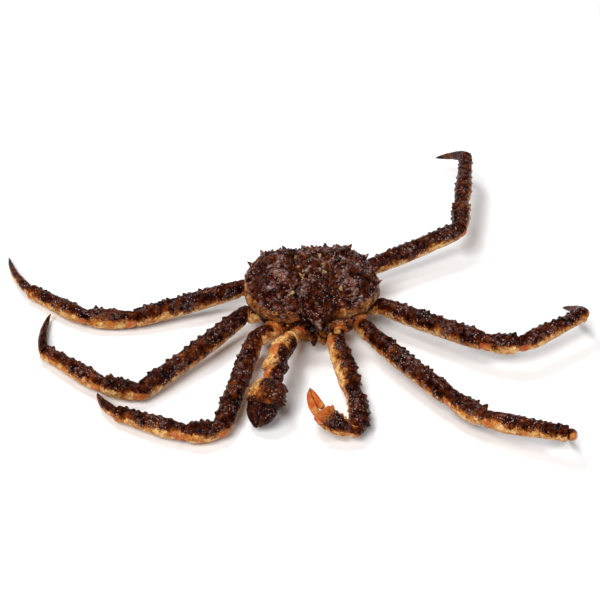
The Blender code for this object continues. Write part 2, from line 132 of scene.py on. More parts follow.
# The knuckle at a piece's inner end: its radius as a share of the girth, and where the shaft starts
# as a share of that radius
BALL_SHARE = {
    "coxa": 0.80, "merus": 0.86, "carpus": 0.88, "propodus": 0.88, "dactyl": 0.90, "palm": 0.55,
}
SHAFT_FROM = 0.92
PALM_FROM = 0.9
# The cup at its outer end: how far round the next knuckle it reaches, in degrees, and its rim as a
# share of the girth
CUP_ANGLES = {"coxa": 54, "merus": 50, "carpus": 44, "propodus": 36}
RIM_SHARE = {"coxa": 0.62, "merus": 0.78, "carpus": 0.60, "propodus": 0.76}
PALM_WIDTH = 0.72  # as a share of its height
PALM_OUTLINES = {
    "claw_right": ((0.14, 0.88), (0.36, 1.0), (0.56, 0.98)),
    "claw_left": ((0.22, 0.84), (0.38, 1.0), (0.56, 0.96)),
}
# The fingers: share of the palm's length, half thickness and rise as shares of the fingers' girth,
# which is itself a share of the palm's
FINGER_SHARE = {"claw_right": 1.0, "claw_left": 0.76}
FIXED_FINGER = ((0.585, 0.47, -0.47), (0.74, 0.42, -0.44), (0.88, 0.28, -0.31), (1.0, 0.05, -0.08))
MOVING_FINGER = (
    (0.605, 0.26, 0.46), (0.65, 0.38, 0.46), (0.77, 0.37, 0.41), (0.89, 0.25, 0.28),
    (0.985, 0.05, 0.07),
)

# ---------------------------------------------------------------- sizes of the looks alone

GRID = 2.0 * MM  # side of a mesh square before it is subdivided
ROUNDING_LEVELS = 1
BACK_CUTS = 59  # odd, so that a row of corners lies on the margin
LEG_SIDES = 40
DACTYL_SIDES = 28
PALM_SIDES = 40
FINGER_SIDES = 24
BODY_SIDES = 150
TAIL_SIDES = 96
TAIL_GRID = 2.5 * MM
FACE_SIDES = 20
FACE_GRID = 1.0 * MM

# A spine: radii as shares of its foot's, heights and lean as shares of its own
FOOT_RISE = 0.10
WAIST = 0.58
WAIST_RISE = 0.50
WAIST_LEAN = 0.4
TIP_OVERSHOOT = 1.22  # because subdividing pulls a tip back
FIRST_INSET = 0.3 * MM  # of a spine's foot, before it is spread to its radius
WAIST_DARK = 0.20  # how much of the tip's colour reaches the waist
FOOT_GLINT = 0.5  # how strongly painted glints (painted highlights) cover the shell round its foot
SPINE_PLACES = 8  # how many corners are tried for a spine before it is given up

# Small lumps: spacing as a share of the waves', steepness, and how blunt their tops are
LUMP_SPACING = 0.55
LUMP_STEEPNESS = 1.6
LUMP_BLUNTNESS = 0.7  # less is blunter
SEED_SHIFTS = (3.7, 1.9, 5.3)  # how far one step of a seed moves a pattern along x, y and z
BACK_WAVES_SEED = 3.0
BACK_RIPPLES_SEED = 8.0
BODY_WAVES_SEED = 21.0
LIMB_WAVES_SEEDS = (0, 50)
BACK_SPINES_SEED = 11

# Waves of the shell: depth and length
BACK_WAVES = (1.8 * MM, 15 * MM)
BACK_RIPPLES = (0.6 * MM, 5 * MM)
BODY_WAVES = (0.8 * MM, 10 * MM)
LIMB_WAVES = (0.5 * MM, 9 * MM)
CLAW_WAVES = (0.5 * MM, 8 * MM)
# Lumps of each kind of piece, as shares of their usual height
BACK_LUMPS = 3.2
LIMB_LUMPS = {"dactyl": 0.3, "finger": 0.9}
USUAL_LIMB_LUMPS = 1.3

HOLLOW_SHARE = 1.5  # of the solids' hollows, which the fine shell follows all the way down
RELIEF_FADE = 0.5  # how steeply the relief of the back dies away at its margin
# Pits of the back where the shell is yellowish: x, y, radius and depth in mm
PITS = ((15, 3, 5, 7), (16, 24, 5, 5), (31, -36, 5, 6), (17, 46, 5, 4))
PIT_FULL_DEPTH = 6 * MM  # where a pit is coloured in full
# Dips in the middle of the outer swellings: the same
DIPS = ((54, -12, 7, 6.0), (50, 34, 6, 3.5), (0, 22, 4, 2.5))
# Raised rings round those dips: x, y, radius and width in mm
LUMP_RINGS = ((54, -12, 12, 4.5), (50, 34, 11, 4.0), (0, 22, 9, 3.5))
LUMP_RING_HEIGHT = 2.2 * MM
# How strongly painted glints (painted highlights) cover those raised rings
LUMP_RING_GLINT = 0.9
# The narrow groove of the back on the left side, which the right side mirrors: x and y in mm
GROOVE_LINE = ((44, -44), (31, -30), (21, -14), (14, -6), (11, 6), (15, 22), (13, 38), (20, 58))
GROOVE_WIDTH = 4.0  # mm
GROOVE_DEPTH = 3.6 * MM
GROOVE_YELLOW = 0.55
HOLLOWS_WITHIN = 0.9  # of the back's radius
ON_MARGIN = 0.9999  # of that radius, from where a corner lies on the margin
# How the margin turns under: share of the radius, and of the way down
MARGIN_TURN = ((1.0, 0.2), (0.99, 0.45), (0.965, 0.7), (0.93, 0.92), (0.90, 1.0))
# The tan stripe of the margin: strength, the band of the radius, and the degrees over which it comes
# and goes
STRIPE = 0.62
STRIPE_BAND = (0.93, 0.98)
STRIPE_FROM = (14, 34)
STRIPE_TO = (95, 125)
STRIPE_REAR_LOSS = 0.75
STRIPE_UNDER_LOSS = 0.45
# The snout: half width and half length of what it draws out, and how much of each is taken
SNOUT_SPREAD = (7.5 * MM, 11 * MM)
SNOUT_PULL = 0.98
SNOUT_PINCH = 0.35
SNOUT_SINK = 0.6
SNOUT_LEAST = 0.01
# Spines of the back: share of the radius, height as a share of the tallest, foot radius, and how far
# they lean outwards
MARGIN_SPINE = (0.95, 1.0, 4.2 * MM, 0.5)
FRONT_SPINE = (0.955, 0.62, 3.2 * MM, 0.7)
FRONT_SPINES_FROM = 14  # degrees from the front
FRONT_SPINES_SPAN = 30
# Rings of tall spines on the swellings: x, y and radius in mm, and how many
BACK_SPINE_RINGS = ((0, -34, 15, 5), (0, 6, 9, 4), (0, 46, 16, 5), (48, 2, 15, 5), (46, 44, 12, 4))
RING_SPINE_FOOT = 4.4 * MM
SMALL_SPINES = 260
SMALL_SPINE_SIZES = (0.25, 0.70)
SMALL_SPINE_FEET = (1.8, 2.6)  # mm, and mm more for a spine of full size
SMALL_SPINES_WITHIN = 0.97
BACK_LEAN = 0.2
LEAN_CENTRE_Y = 20 * MM  # the spines of the back lean away from here

# The knuckle of a limb piece: distance and half height, as shares of its radius. The palm's has its
# half width between them.
KNUCKLE = ((-1.0, 0.08), (-0.72, 0.66), (0.0, 1.0), (0.48, 0.97))
PALM_KNUCKLE = ((-1.0, 0.07, 0.08), (-0.72, 0.64, 0.66), (0.0, 1.0, 1.0), (0.62, 0.90, 0.90))
CUP_ROOM = 1.05  # a cup's radius, as a share of the knuckle in it
CUP_STEPS = (0.6, 0.15)  # shares of the cup's angle where its inside is drawn
RIM_REACH = 2.6 * MM  # how much further the rim of a cup reaches over its joint than in the solids
RIM_WALL = 2.0 * MM
LIP_BACK = 1.2 * MM  # from the rim to the lip behind it
LIP_SWELL = {"coxa": 0.5 * MM}
USUAL_LIP_SWELL = 1.4 * MM
MOUTH_DEPTH = 0.4 * MM
# The blunt point of a last piece: distance from its end, and half height as a share of the girth
POINT = ((1.0 * MM, 0.08), (0.0, 0.03))
# Cross-sections: their mean, then how many low ridges run round them and how high those stand
ROUND_SECTION = (1.0, ((2, 0.02),))
RIDGED_SECTION = (0.985, ((4, 0.018), (3, 0.012)))
# Where the ridges, the knuckle's colour and the cup's colour come and go: distances from the start
# or the end of the shaft
RIDGES_IN = (-4 * MM, 6 * MM)
RIDGES_OUT = (-5 * MM, 0.0)
KNUCKLE_EDGE = (-6 * MM, -1 * MM)
CUP_EDGE = (-2.6 * MM, -0.5 * MM)
PALE_SHARPNESS = 0.9
# How orange a joint is: on a coxa, elsewhere, on its dark side, added on its pale side, on a cup
COXA_ORANGE = 0.55
LIMB_ORANGE = 0.8
DARK_SIDE_ORANGE = 0.25
PALE_SIDE_ORANGE = 0.6
PALE_SIDE_FROM = (0.25, 0.7)
CUP_ORANGE = 0.7

# Rows of spines along a limb piece: degrees round from the top towards the side that the limb folds
# to, how many, height and foot radius in mm
SPINE_ROWS = {
    "merus": (
        (4, 10, 3.8, 4.2), (50, 10, 4.0, 4.0), (-40, 9, 3.0, 3.6), (90, 8, 3.4, 3.6), (-78, 8, 2.2, 3.0),
    ),
    "carpus": (
        (0, 4, 4.2, 4.2), (50, 4, 4.4, 4.0), (-46, 4, 3.6, 3.6), (95, 3, 3.6, 3.4), (-86, 3, 2.4, 3.0),
    ),
    "propodus": (
        (0, 7, 3.2, 3.8), (50, 7, 3.2, 3.6), (-44, 6, 2.4, 3.2), (96, 5, 2.6, 3.0), (-84, 5, 1.8, 2.6),
    ),
    "palm": (
        (0, 5, 4.6, 4.0), (46, 5, 4.4, 3.8), (-46, 5, 4.2, 3.8), (90, 4, 3.8, 3.4), (-90, 4, 3.6, 3.4),
    ),
}
# How those spines stray: along the row as a share of their spacing, round the limb in degrees, and
# the least and greatest share of their height and of their foot
ROW_STRAY = 0.36
ROW_SHIFT = 0.25  # of the rows on the folding side, so that neighbours don't line up
ROUND_STRAY = 12
HEIGHT_RANGE = (0.55, 1.25)
FOOT_RANGE = (0.9, 1.1)
ROW_FROM = 0.04
ROW_LENGTH = 0.90
OUTER_GROWTH = (0.85, 0.3)  # share of the height at the inner end, and how much is added outwards
LIMB_LEAN = 0.35
PALM_SPINES_TO = 0.56

# The fingers of the claws
FINGER_FULLNESS = 1.15  # of the solid fingers, so that a shut claw shows no gap
FINGER_WIDTH = 0.88  # as a share of the solids' height
FINGER_ORANGE = {"claw_right": 0.0, "claw_left": 0.8}
FINGER_DARK = {"claw_right": 0.62, "claw_left": 0.0}
# Where the colour of a finger begins, as a share of its rings, and which side of it is the inner one
FINGER_SHADES = {"palm": (0.3, 1), "finger": (-0.3, -1)}
ORANGE_SPAN = 0.3
DARK_SPAN = 0.5
SEAM_SHADE = 0.85  # painted shade along the seam where the fingers meet, in place of the shadow of the crevice
SEAM_FACING = (0.72, 0.92)
SEAM_SPAN = (0.25, 0.32)
FINGER_TIP_DARK = 0.85
FINGER_TIP_SPAN = (0.90, 0.97)
# How far along each palm its pale side reaches, as a share of its length, and how softly it ends
PALM_PALE_TO = {"claw_right": 0.42, "claw_left": 1.0}
PALM_PALE_FADE = 0.12
# Where the pale side of each piece faces: degrees round from the top towards the folding side, and
# how far it spreads each way
PALE_SIDES = {
    "leg": {
        "coxa": (-140, 84), "merus": (-142, 60), "carpus": (-138, 70), "propodus": (-133, 70),
        "dactyl": (-125, 56),
    },
    "claw_right": {"coxa": (-80, 125), "merus": (70, 100), "carpus": (90, 92), "palm": (170, 84)},
    "claw_left": {"coxa": (-100, 125), "merus": (-110, 84), "carpus": (-120, 60), "palm": (-90, 130)},
}

# The flat ends of the body and of the tail: height in mm and share of the outline there
BODY_CAP = ((47.6, 0.5), (47.6, 0.88))
BODY_BASE = ((12.0, 0.3),)
TAIL_CAP = ((11.6, 0.4),)
TAIL_BASE = ((0, 0.4),)
USUAL_RADIUS = 70 * MM  # of the body, to space its rings evenly
BODY_PALE = 0.34  # how pale its upper wall is
BODY_PALE_BAND = (32 * MM, 15 * MM)  # the heights between which it turns wholly pale
# The raised collar round the root of each limb and its orange skin: radius and width, as shares of
# the coxa's girth
COLLAR = (1.15, 0.22)
COLLAR_HEIGHT = 1.6 * MM
COLLAR_SKIN = (0.9, 0.35)
COLLAR_ORANGE = 0.8

# The pieces of the face: x on the left side, y and z in mm, degrees turned outwards, pitch, slot, how
# pale it is, and its outline as distance and radius in mm
FACE_PIECES = {
    "eye": (
        (7.8, -57, 43.8), 6, 12, "eye", 0.3,
        ((0, 0.5), (0.3, 2.0), (3.0, 2.1), (6.5, 2.0), (8.5, 3.2), (11.5, 3.1), (13.0, 1.4), (13.2, 0.3)),
    ),
    "feeler": (
        (14.9, -58.5, 44.4), 6, 0, "shell", 0.35,
        ((0, 0.5), (0.3, 2.6), (5, 3.0), (11, 2.4), (17.5, 1.3), (18, 0.3)),
    ),
    "jaw": (
        (6.5, -60.5, 38), 0, -72, "shell", 0.35,
        ((0, 0.6), (0.4, 3.2), (4, 5.0), (11, 5.2), (17, 4.0), (21.6, 2.0), (22, 0.5)),
    ),
}

# ---------------------------------------------------------------- the stage

FLOOR_REACH = 12.0  # metres to each side
FLOOR_DRIFT = 0.985  # the darkest part of the floor, as a share of its colour
LIGHT_PLACES = {"sun": (-0.9, -1.1, 1.9), "key": (-0.4, 0.5, 1.5), "fill": (1.0, -0.9, 1.2)}
SUN_WIDTH = 34  # degrees across, so that its shadows are soft
KEY_SIZE = 0.45
FILL_SIZE = 0.3
CAMERA_TARGET = (-14.326, 20.933, 26.511)  # mm
CAMERA_ELEVATION = 38
CAMERA_AZIMUTH = -7
CAMERA_DISTANCE = 1.9
SENSOR_WIDTH = 36.0  # mm
NEAREST_SEEN = 0.01


def side_of(name):
    return 1 if name.endswith("left") else -1


def girths_of(name):
    return GIRTHS.get(name, LEG_GIRTHS)


def smoothstep(low, high, value):
    share = min(max((value - low) / (high - low), 0.0), 1.0)
    return share * share * (3 - 2 * share)


def fade(span, origin, value):
    """Rises smoothly from 0 to 1 over a span of distances from an origin."""
    return smoothstep(origin + span[0], origin + span[1], value)


def smooth_table(values, place):
    """A value between the entries of a table, with level ends at each."""
    low = min(int(place), len(values) - 2)
    ease = smoothstep(low, low + 1, place)
    return values[low] * (1 - ease) + values[low + 1] * ease


def outline_radius(radii, direction):
    return smooth_table(radii, abs(direction) / 180 * (len(radii) - 1)) * MM


def direction_of(x, y):
    return math.degrees(math.atan2(x, -y))


# ---------------------------------------------------------------- materials

class Paint:
    """One material's nodes. A value or a socket can stand for any input."""

    def __init__(self, name):
        self.material = bpy.data.materials.new(name)
        self.material.use_nodes = True
        self.tree = self.material.node_tree
        self.shader = self.tree.nodes["Principled BSDF"]
        self.place = self.add("ShaderNodeTexCoord").outputs["Object"]

    def add(self, kind, **inputs):
        node = self.tree.nodes.new(kind)
        for key, value in inputs.items():
            self.set(node.inputs[key.replace("_", " ")], value)
        return node

    def set(self, socket, value):
        if isinstance(value, bpy.types.NodeSocket):
            self.tree.links.new(value, socket)
        else:
            socket.default_value = value

    def attribute(self, name):
        node = self.add("ShaderNodeAttribute")
        node.attribute_name = name
        return node.outputs["Fac"]

    def noise(self, scale, detail=3.0, rough=0.55, shift=0.0):
        place = self.shifted(shift)
        node = self.add("ShaderNodeTexNoise", Vector=place, Scale=scale, Detail=detail, Roughness=rough)
        return node.outputs["Fac"]

    def shifted(self, shift):
        if not shift:
            return self.place
        mapping = self.add("ShaderNodeMapping", Vector=self.place)
        mapping.inputs["Location"].default_value = (shift, -shift, 2 * shift)
        return mapping.outputs["Vector"]

    def cells(self, scale, feature="F1", shift=0.0):
        node = self.add("ShaderNodeTexVoronoi", Vector=self.shifted(shift), Scale=scale)
        node.feature = feature
        return node

    def math(self, operation, first, second=0.0, third=0.0):
        node = self.tree.nodes.new("ShaderNodeMath")
        node.operation = operation
        for socket, value in zip(node.inputs, (first, second, third)):
            self.set(socket, value)
        return node.outputs[0]

    def step(self, value, low, high, bottom=0.0, top=1.0):
        """Rises smoothly from bottom to top as the value goes from low to high."""
        node = self.add(
            "ShaderNodeMapRange", Value=value, From_Min=low, From_Max=high, To_Min=bottom, To_Max=top,
        )
        node.interpolation_type = "SMOOTHSTEP"
        return node.outputs["Result"]

    def ramp(self, value, stops):
        """A row of colours, each at its position along the value."""
        node = self.add("ShaderNodeValToRGB", Fac=value)
        elements = node.color_ramp.elements
        while len(elements) < len(stops):
            elements.new(0.5)
        for element, (position, colour) in zip(elements, stops):
            element.position = position
            element.color = with_alpha(colour)
        return node.outputs["Color"]

    def mix(self, factor, under, over, blend="MIX"):
        """Lays one colour over another. The upper one is a socket or a plain colour."""
        node = self.tree.nodes.new("ShaderNodeMix")
        node.data_type = "RGBA"
        node.blend_type = blend
        self.set(node.inputs["Factor"], factor)
        lower, upper = (socket for socket in node.inputs if socket.enabled and socket.type == "RGBA")
        self.set(lower, under)
        self.set(upper, over if isinstance(over, bpy.types.NodeSocket) else with_alpha(over))
        return next(socket for socket in node.outputs if socket.enabled)

    def bump(self, height, distance, strength=1.0, normal=None):
        node = self.add("ShaderNodeBump", Height=height, Distance=distance, Strength=strength)
        if normal is not None:
            self.set(node.inputs["Normal"], normal)
        return node.outputs["Normal"]

    def finish(self, colour, roughness, normal, coat=0.0, coat_roughness=0.1, specular=0.5):
        self.set(self.shader.inputs["Base Color"], colour)
        self.set(self.shader.inputs["Roughness"], roughness)
        self.set(self.shader.inputs["Normal"], normal)
        self.shader.inputs["Coat Weight"].default_value = coat
        self.shader.inputs["Coat Roughness"].default_value = coat_roughness
        self.shader.inputs["Specular IOR Level"].default_value = specular
        return self.material


def with_alpha(colour):
    return tuple(colour)[:3] + (1.0,)


def shell_paint(name, colours, glint_strength=0.35, blotches=0.55, tone=1.0):
    """Wet crab shell: dark on top, cream and orange below, orange at the joints, black spine tips.

    It reads these attributes: pale is 0 on top and 1 below, joint is 1 on the skin and knuckle of a
    joint, tip is 1 at the point of a spine and along the seam where a claw's fingers meet, where it is
    painted shade, hollow is 1 in a pit or groove of the back, raised is 1 on a lump and round a spine,
    where painted glints go. The glint strength is how strongly those raised parts are painted with
    violet-grey highlights, blotches how strongly rust spots the pale side, and tone how light that side is.
    """
    paint = Paint(name)
    broad = paint.noise(38, detail=2.0, rough=0.5)
    patchy = paint.noise(120, detail=3.0, rough=0.6, shift=1.3)
    fine = paint.noise(420, detail=3.0, rough=0.6, shift=2.1)
    edge = ragged_edge(paint, broad, patchy, fine)
    dark = dark_side(paint, colours, broad, patchy, fine, glint_strength)
    between = paint.math("MULTIPLY", paint.step(edge, 0.22, 0.50), 0.8)
    dark = paint.mix(between, dark, colours.rust)
    colour = paint.mix(paint.step(edge, 0.45, 0.80), dark, pale_side(paint, colours, blotches, tone))
    colour = paint.mix(yellow_hollows(paint), colour, colours.olive)
    joint = paint.math("MULTIPLY_ADD", fine, 0.5, paint.attribute("joint"))
    skin = paint.ramp(paint.noise(160, detail=3.0, rough=0.6, shift=7.0), (
        (0.43, colours.red), (0.53, colours.orange), (0.65, colours.tan),
    ))
    colour = paint.mix(paint.step(joint, 0.50, 1.05), colour, skin)
    colour = paint.mix(small_specks(paint), colour, colours.speck)
    colour = paint.mix(paint.step(paint.attribute("tip"), 0.35, 1.0, top=0.9), colour, colours.tip)
    pores = paint.cells(520, "SMOOTH_F1", shift=5.0).outputs["Distance"]
    normal = paint.bump(pores, 0.6 * MM, 0.7)
    normal = paint.bump(paint.noise(900, detail=2.0, rough=0.6), 0.3 * MM, 0.7, normal)
    roughness = paint.step(patchy, 0.3, 0.7, 0.20, 0.46)
    return paint.finish(colour, roughness, normal, coat=0.05, coat_roughness=0.07, specular=0.06)


def dark_side(paint, colours, broad, patchy, fine, glint_strength):
    """The mottled top of the shell, with painted glints (painted highlights) on its raised parts."""
    mottle = paint.math("MULTIPLY_ADD", patchy, 0.45, paint.math("MULTIPLY", broad, 0.25))
    mottle = paint.math("MULTIPLY_ADD", fine, 0.30, mottle)
    dark = paint.ramp(mottle, (
        (0.42, colours.black), (0.50, colours.maroon), (0.58, colours.brown), (0.67, colours.rust),
    ))
    # Painted highlights: the colours of the glints laid on the raised parts
    glint_colour = paint.ramp(paint.noise(240, detail=4.0, rough=0.7, shift=8.0), (
        (0.36, colours.maroon), (0.45, colours.rust), (0.52, colours.violet_glint), (0.66, colours.speck),
    ))
    zone = paint.step(paint.noise(33, detail=2.0, rough=0.5, shift=13.0), 0.40, 0.62)
    glint_mask = paint.math("MULTIPLY_ADD", fine, 1.1, paint.attribute("raised"))
    glint_mask = paint.step(paint.math("MULTIPLY_ADD", zone, 0.55, glint_mask), 1.30, 1.95)
    return paint.mix(paint.math("MULTIPLY", glint_mask, glint_strength), dark, glint_colour)


def pale_side(paint, colours, blotches, tone):
    """The cream and orange underside, with rust blotches."""
    pale = paint.ramp(paint.noise(75, detail=3.0, rough=0.6, shift=4.0), (
        (0.34, colours.orange), (0.45, colours.tan), (0.60, colours.cream), (0.70, colours.yellow),
    ))
    blotch = paint.step(paint.noise(150, detail=4.0, rough=0.7, shift=6.0), 0.48, 0.62)
    pale = paint.mix(paint.math("MULTIPLY", blotch, blotches), pale, colours.rust)
    return paint.mix(1.0, pale, (tone, 0.94 * tone, 0.86 * tone), "MULTIPLY")


def ragged_edge(paint, broad, patchy, fine):
    """The attribute pale, torn by three sizes of noise, each taken about its middle."""
    edge = paint.math("ADD", paint.attribute("pale"), paint.math("MULTIPLY_ADD", patchy, 1.2, -0.60))
    edge = paint.math("MULTIPLY_ADD", broad, 1.2, paint.math("SUBTRACT", edge, 0.62))
    return paint.math("MULTIPLY_ADD", fine, 0.8, paint.math("SUBTRACT", edge, 0.40))


def yellow_hollows(paint):
    """How yellow the pits and grooves of the back are, in small grains."""
    grit = paint.noise(170, detail=4.0, rough=0.7, shift=10.0)
    depth = paint.math("SUBTRACT", paint.attribute("hollow"), 1.60)
    grains = paint.step(paint.math("MULTIPLY_ADD", grit, 2.4, depth), 0.50, 0.74)
    return paint.math("MULTIPLY", grains, 0.75)


def small_specks(paint):
    """Pale dots that lie in loose groups."""
    dots = paint.step(paint.cells(300, "F1", shift=3.0).outputs["Distance"], 0.30, 0.14)
    groups = paint.step(paint.noise(55, detail=1.0, rough=0.5, shift=9.0), 0.46, 0.58)
    return paint.math("MULTIPLY", paint.math("MULTIPLY", dots, groups), 0.75)


def eye_paint(name, low, high):
    """A smooth wet black that drifts between two colours."""
    paint = Paint(name)
    colour = paint.ramp(paint.noise(150), ((0.35, low), (0.65, high)))
    normal = paint.bump(paint.noise(750, detail=2.0), 0.2 * MM, 0.5)
    roughness = paint.step(paint.noise(300), 0.3, 0.7, 0.08, 0.20)
    return paint.finish(colour, roughness, normal, coat=0.3)


# ---------------------------------------------------------------- meshes

LAYERS = ("pale", "joint", "tip", "hollow", "raised")


def new_mesh():
    """An empty bmesh with the attributes that the shell's material reads."""
    bm = bmesh.new()
    for layer in LAYERS:
        bm.verts.layers.float.new(layer)
    return bm


def layers_of(bm):
    return {layer: bm.verts.layers.float[layer] for layer in LAYERS}


def finish_piece(name, bm, material, nodes, place=None):
    """Puts a modelled piece in the scene, in place of its solids."""
    bmesh.ops.recalc_face_normals(bm, faces=bm.faces)
    if place is not None:
        bmesh.ops.transform(bm, matrix=place, verts=bm.verts)
    mesh = bpy.data.meshes.new(name)
    bm.to_mesh(mesh)
    bm.free()
    mesh.shade_smooth()
    mesh.materials.append(material)
    piece = bpy.data.objects.new(name, mesh)
    bpy.context.scene.collection.objects.link(piece)
    rounding = piece.modifiers.new("rounding", "SUBSURF")
    rounding.levels = ROUNDING_LEVELS
    rounding.render_levels = ROUNDING_LEVELS
    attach(piece, "root")
    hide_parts(*nodes)


def roughen(bm, waves, seed, lumps=0.0):
    """Moves the shell in and out a little: soft waves, and rounded lumps like those of a rough rind."""
    bm.normal_update()
    raised = bm.verts.layers.float["raised"]
    depth, size = waves
    offset = Vector([seed * shift for shift in SEED_SHIFTS])
    moves = []
    for vert in bm.verts:
        move = depth * noise.noise(vert.co / size + offset)
        if lumps:
            near = noise.voronoi(vert.co / (LUMP_SPACING * size) + offset)[0][0]
            lump = max(0.0, 1 - LUMP_STEEPNESS * near) ** LUMP_BLUNTNESS
            move += lumps * lump
            # Marks each lump for painted glints (painted highlights)
            vert[raised] = max(vert[raised], lump)
        moves.append(move * vert.normal)
    for vert, move in zip(bm.verts, moves):
        vert.co += move


class SpineBed:
    """Finds the corner of a mesh nearest each wished place, so that no two spines share a square."""

    def __init__(self, bm):
        self.bm = bm
        self.verts = list(bm.verts)
        self.tree = KDTree(len(self.verts))
        for number, vert in enumerate(self.verts):
            self.tree.insert(vert.co, number)
        self.tree.balance()
        self.taken = set()
        self.spines = []

    def plant(self, spot, height, foot, lean):
        """Takes the nearest corner whose four squares are free, if there is one close by."""
        for _, number, _ in self.tree.find_n(spot, SPINE_PLACES):
            vert = self.verts[number]
            patch = {corner for face in vert.link_faces for corner in face.verts}
            if len(vert.link_faces) == 4 and len(patch) == 9 and not patch & self.taken:
                self.taken |= patch
                self.spines.append((vert, height, foot, lean))
                return

    def raise_all(self, layers):
        """Insets the four squares round each chosen corner and draws them out to a point."""
        self.bm.normal_update()
        faces = [face for vert, *_ in self.spines for face in vert.link_faces]
        if not faces:
            return
        normals = [vert.normal.copy() for vert, *_ in self.spines]
        bmesh.ops.inset_region(
            self.bm, faces=faces, use_boundary=True, use_even_offset=False, thickness=FIRST_INSET,
            depth=0.0,
        )
        for (vert, height, foot, lean), normal in zip(self.spines, normals):
            centre = vert.co.copy()
            ring = {corner for face in vert.link_faces for corner in face.verts} - {vert}
            for corner in ring:
                outward = corner.co - centre
                outward -= outward.dot(normal) * normal
                outward.normalize()
                outer = [edge.other_vert(corner) for edge in corner.link_edges]
                outer = [other for other in outer if other not in ring and other is not vert]
                for other in outer:
                    rise = (other.co - centre).dot(normal)
                    other.co = centre + foot * outward + (rise + FOOT_RISE * height) * normal
                    # Marks the ring round the foot for painted glints
                    other[layers["raised"]] = FOOT_GLINT
                for layer in ("pale", "joint", "hollow"):
                    corner[layers[layer]] = vert[layers[layer]]
                corner.co = centre + WAIST * foot * outward + WAIST_RISE * height * normal
                corner.co += WAIST_LEAN * lean
                corner[layers["tip"]] = WAIST_DARK
                # The waist gets the fullest painted glints
                corner[layers["raised"]] = 1.0
            vert.co = centre + TIP_OVERSHOOT * height * normal + lean
            vert[layers["tip"]] = 1.0
            vert[layers["raised"]] = 0.0


# ---------------------------------------------------------------- limb pieces

def centreline(length, turn, distance):
    """The point and yaw at a distance along an arc of that turn, whose ends are length apart on +X."""
    share = min(max(distance / length, 0.0), 1.0)
    yaw = turn * (share - 0.5)
    point = Vector((length * share, 0, 0))
    if abs(turn) > 1e-6:
        radius = length / (2 * math.sin(turn / 2))
        along = radius * (math.sin(yaw) + math.sin(turn / 2))
        point = Vector((along, radius * (math.cos(turn / 2) - math.cos(yaw)), 0))
    beyond = distance - share * length
    return point + beyond * Vector((math.cos(yaw), math.sin(yaw), 0)), yaw


def ring_matrix(length, turn, roll, ring):
    """Takes the unit circle to one cross-section: distance, half width, half height and rise."""
    distance, half_width, half_height, rise = ring
    point, yaw = centreline(length, turn, distance)
    across = Matrix(((0, 0, 1, 0), (1, 0, 0, 0), (0, 1, 0, 0), (0, 0, 0, 1)))
    size = Matrix.Diagonal((half_width, half_height, 1, 1))
    facing = Matrix.Rotation(yaw, 4, "Z") @ Matrix.Rotation(roll, 4, "X")
    return Matrix.Translation(point) @ facing @ Matrix.Translation((0, 0, rise)) @ across @ size


def smooth_path(keys, step):
    """Points along a smooth curve through the keys, about a step apart. A key holds any four lengths."""
    keys = [Vector(key) for key in keys]
    points = []
    for number in range(len(keys) - 1):
        before = keys[max(number - 1, 0)]
        start, end = keys[number], keys[number + 1]
        after = keys[min(number + 2, len(keys) - 1)]
        span = (end - start).length
        reach_in = min(1.0, span / max((start - before).length, 1e-6))
        reach_out = min(1.0, span / max((after - end).length, 1e-6))
        leave = 0.5 * ((end - start) + reach_in * (start - before))
        arrive = 0.5 * ((end - start) + reach_out * (after - end))
        count = max(1, round(span / step))
        for index in range(count):
            t = index / count
            points.append(
                (2 * t ** 3 - 3 * t ** 2 + 1) * start + (t ** 3 - 2 * t ** 2 + t) * leave
                + (3 * t ** 2 - 2 * t ** 3) * end + (t ** 3 - t ** 2) * arrive
            )
    points.append(keys[-1])
    return points


def loft(length, turn, rings, sides, roll=0.0):
    """A closed tube drawn out ring by ring from a circle, with each ring's corners and place."""
    bm = new_mesh()
    place = ring_matrix(length, turn, roll, rings[0])
    start = bmesh.ops.create_circle(bm, cap_ends=True, segments=sides, radius=1.0, matrix=place)
    cap = start["verts"][0].link_faces[0]
    drawn = [(list(cap.verts), place)]
    for ring in rings[1:]:
        cap = bmesh.ops.extrude_discrete_faces(bm, faces=[cap])["faces"][0]
        target = ring_matrix(length, turn, roll, ring)
        bmesh.ops.transform(bm, matrix=target @ place.inverted(), verts=cap.verts)
        place = target
        drawn.append((list(cap.verts), place))
    bmesh.ops.holes_fill(bm, edges=[edge for edge in bm.edges if edge.is_boundary], sides=sides)
    bmesh.ops.recalc_face_normals(bm, faces=bm.faces)
    return bm, drawn


def limb_keys(kind, next_kind, girths, pose):
    """The outline of a limb piece, from the knuckle at its inner end to its cup or point."""
    length = pose[0] * MM
    girth = girths[kind] * MM
    ball = BALL_SHARE[kind] * girth
    start, end = SHAFT_FROM * ball, length
    if next_kind:
        hollow = CUP_ROOM * BALL_SHARE[next_kind] * girths[next_kind] * MM
        widest = math.radians(CUP_ANGLES[kind])
        opening = hollow * math.sin(widest)
        rim = max(opening + RIM_WALL, RIM_SHARE[kind] * girth)
        end = length - hollow * math.cos(widest) + RIM_REACH
        tail = [
            (end - LIP_BACK, rim + LIP_SWELL.get(kind, USUAL_LIP_SWELL)), (end, rim),
            (end - MOUTH_DEPTH, opening),
        ]
        for step in CUP_STEPS:
            tail.append((length - hollow * math.cos(widest * step), hollow * math.sin(widest * step)))
    else:
        tail = [(end - before, half * girth) for before, half in POINT]
    keys = [(along * ball, half * ball) for along, half in KNUCKLE]
    keys += [(start + share * (end - start), half * girth) for share, half in OUTLINES[kind]]
    return [(distance, FLATNESS * half, half, 0.0) for distance, half in keys + tail], start, end


def section(kind, angle):
    """How far the shell stands out round a piece: low ridges, or nearly round."""
    mean, ridges = ROUND_SECTION if kind in ("coxa", "dactyl") else RIDGED_SECTION
    return sum((height * math.cos(count * angle) for count, height in ridges), mean)


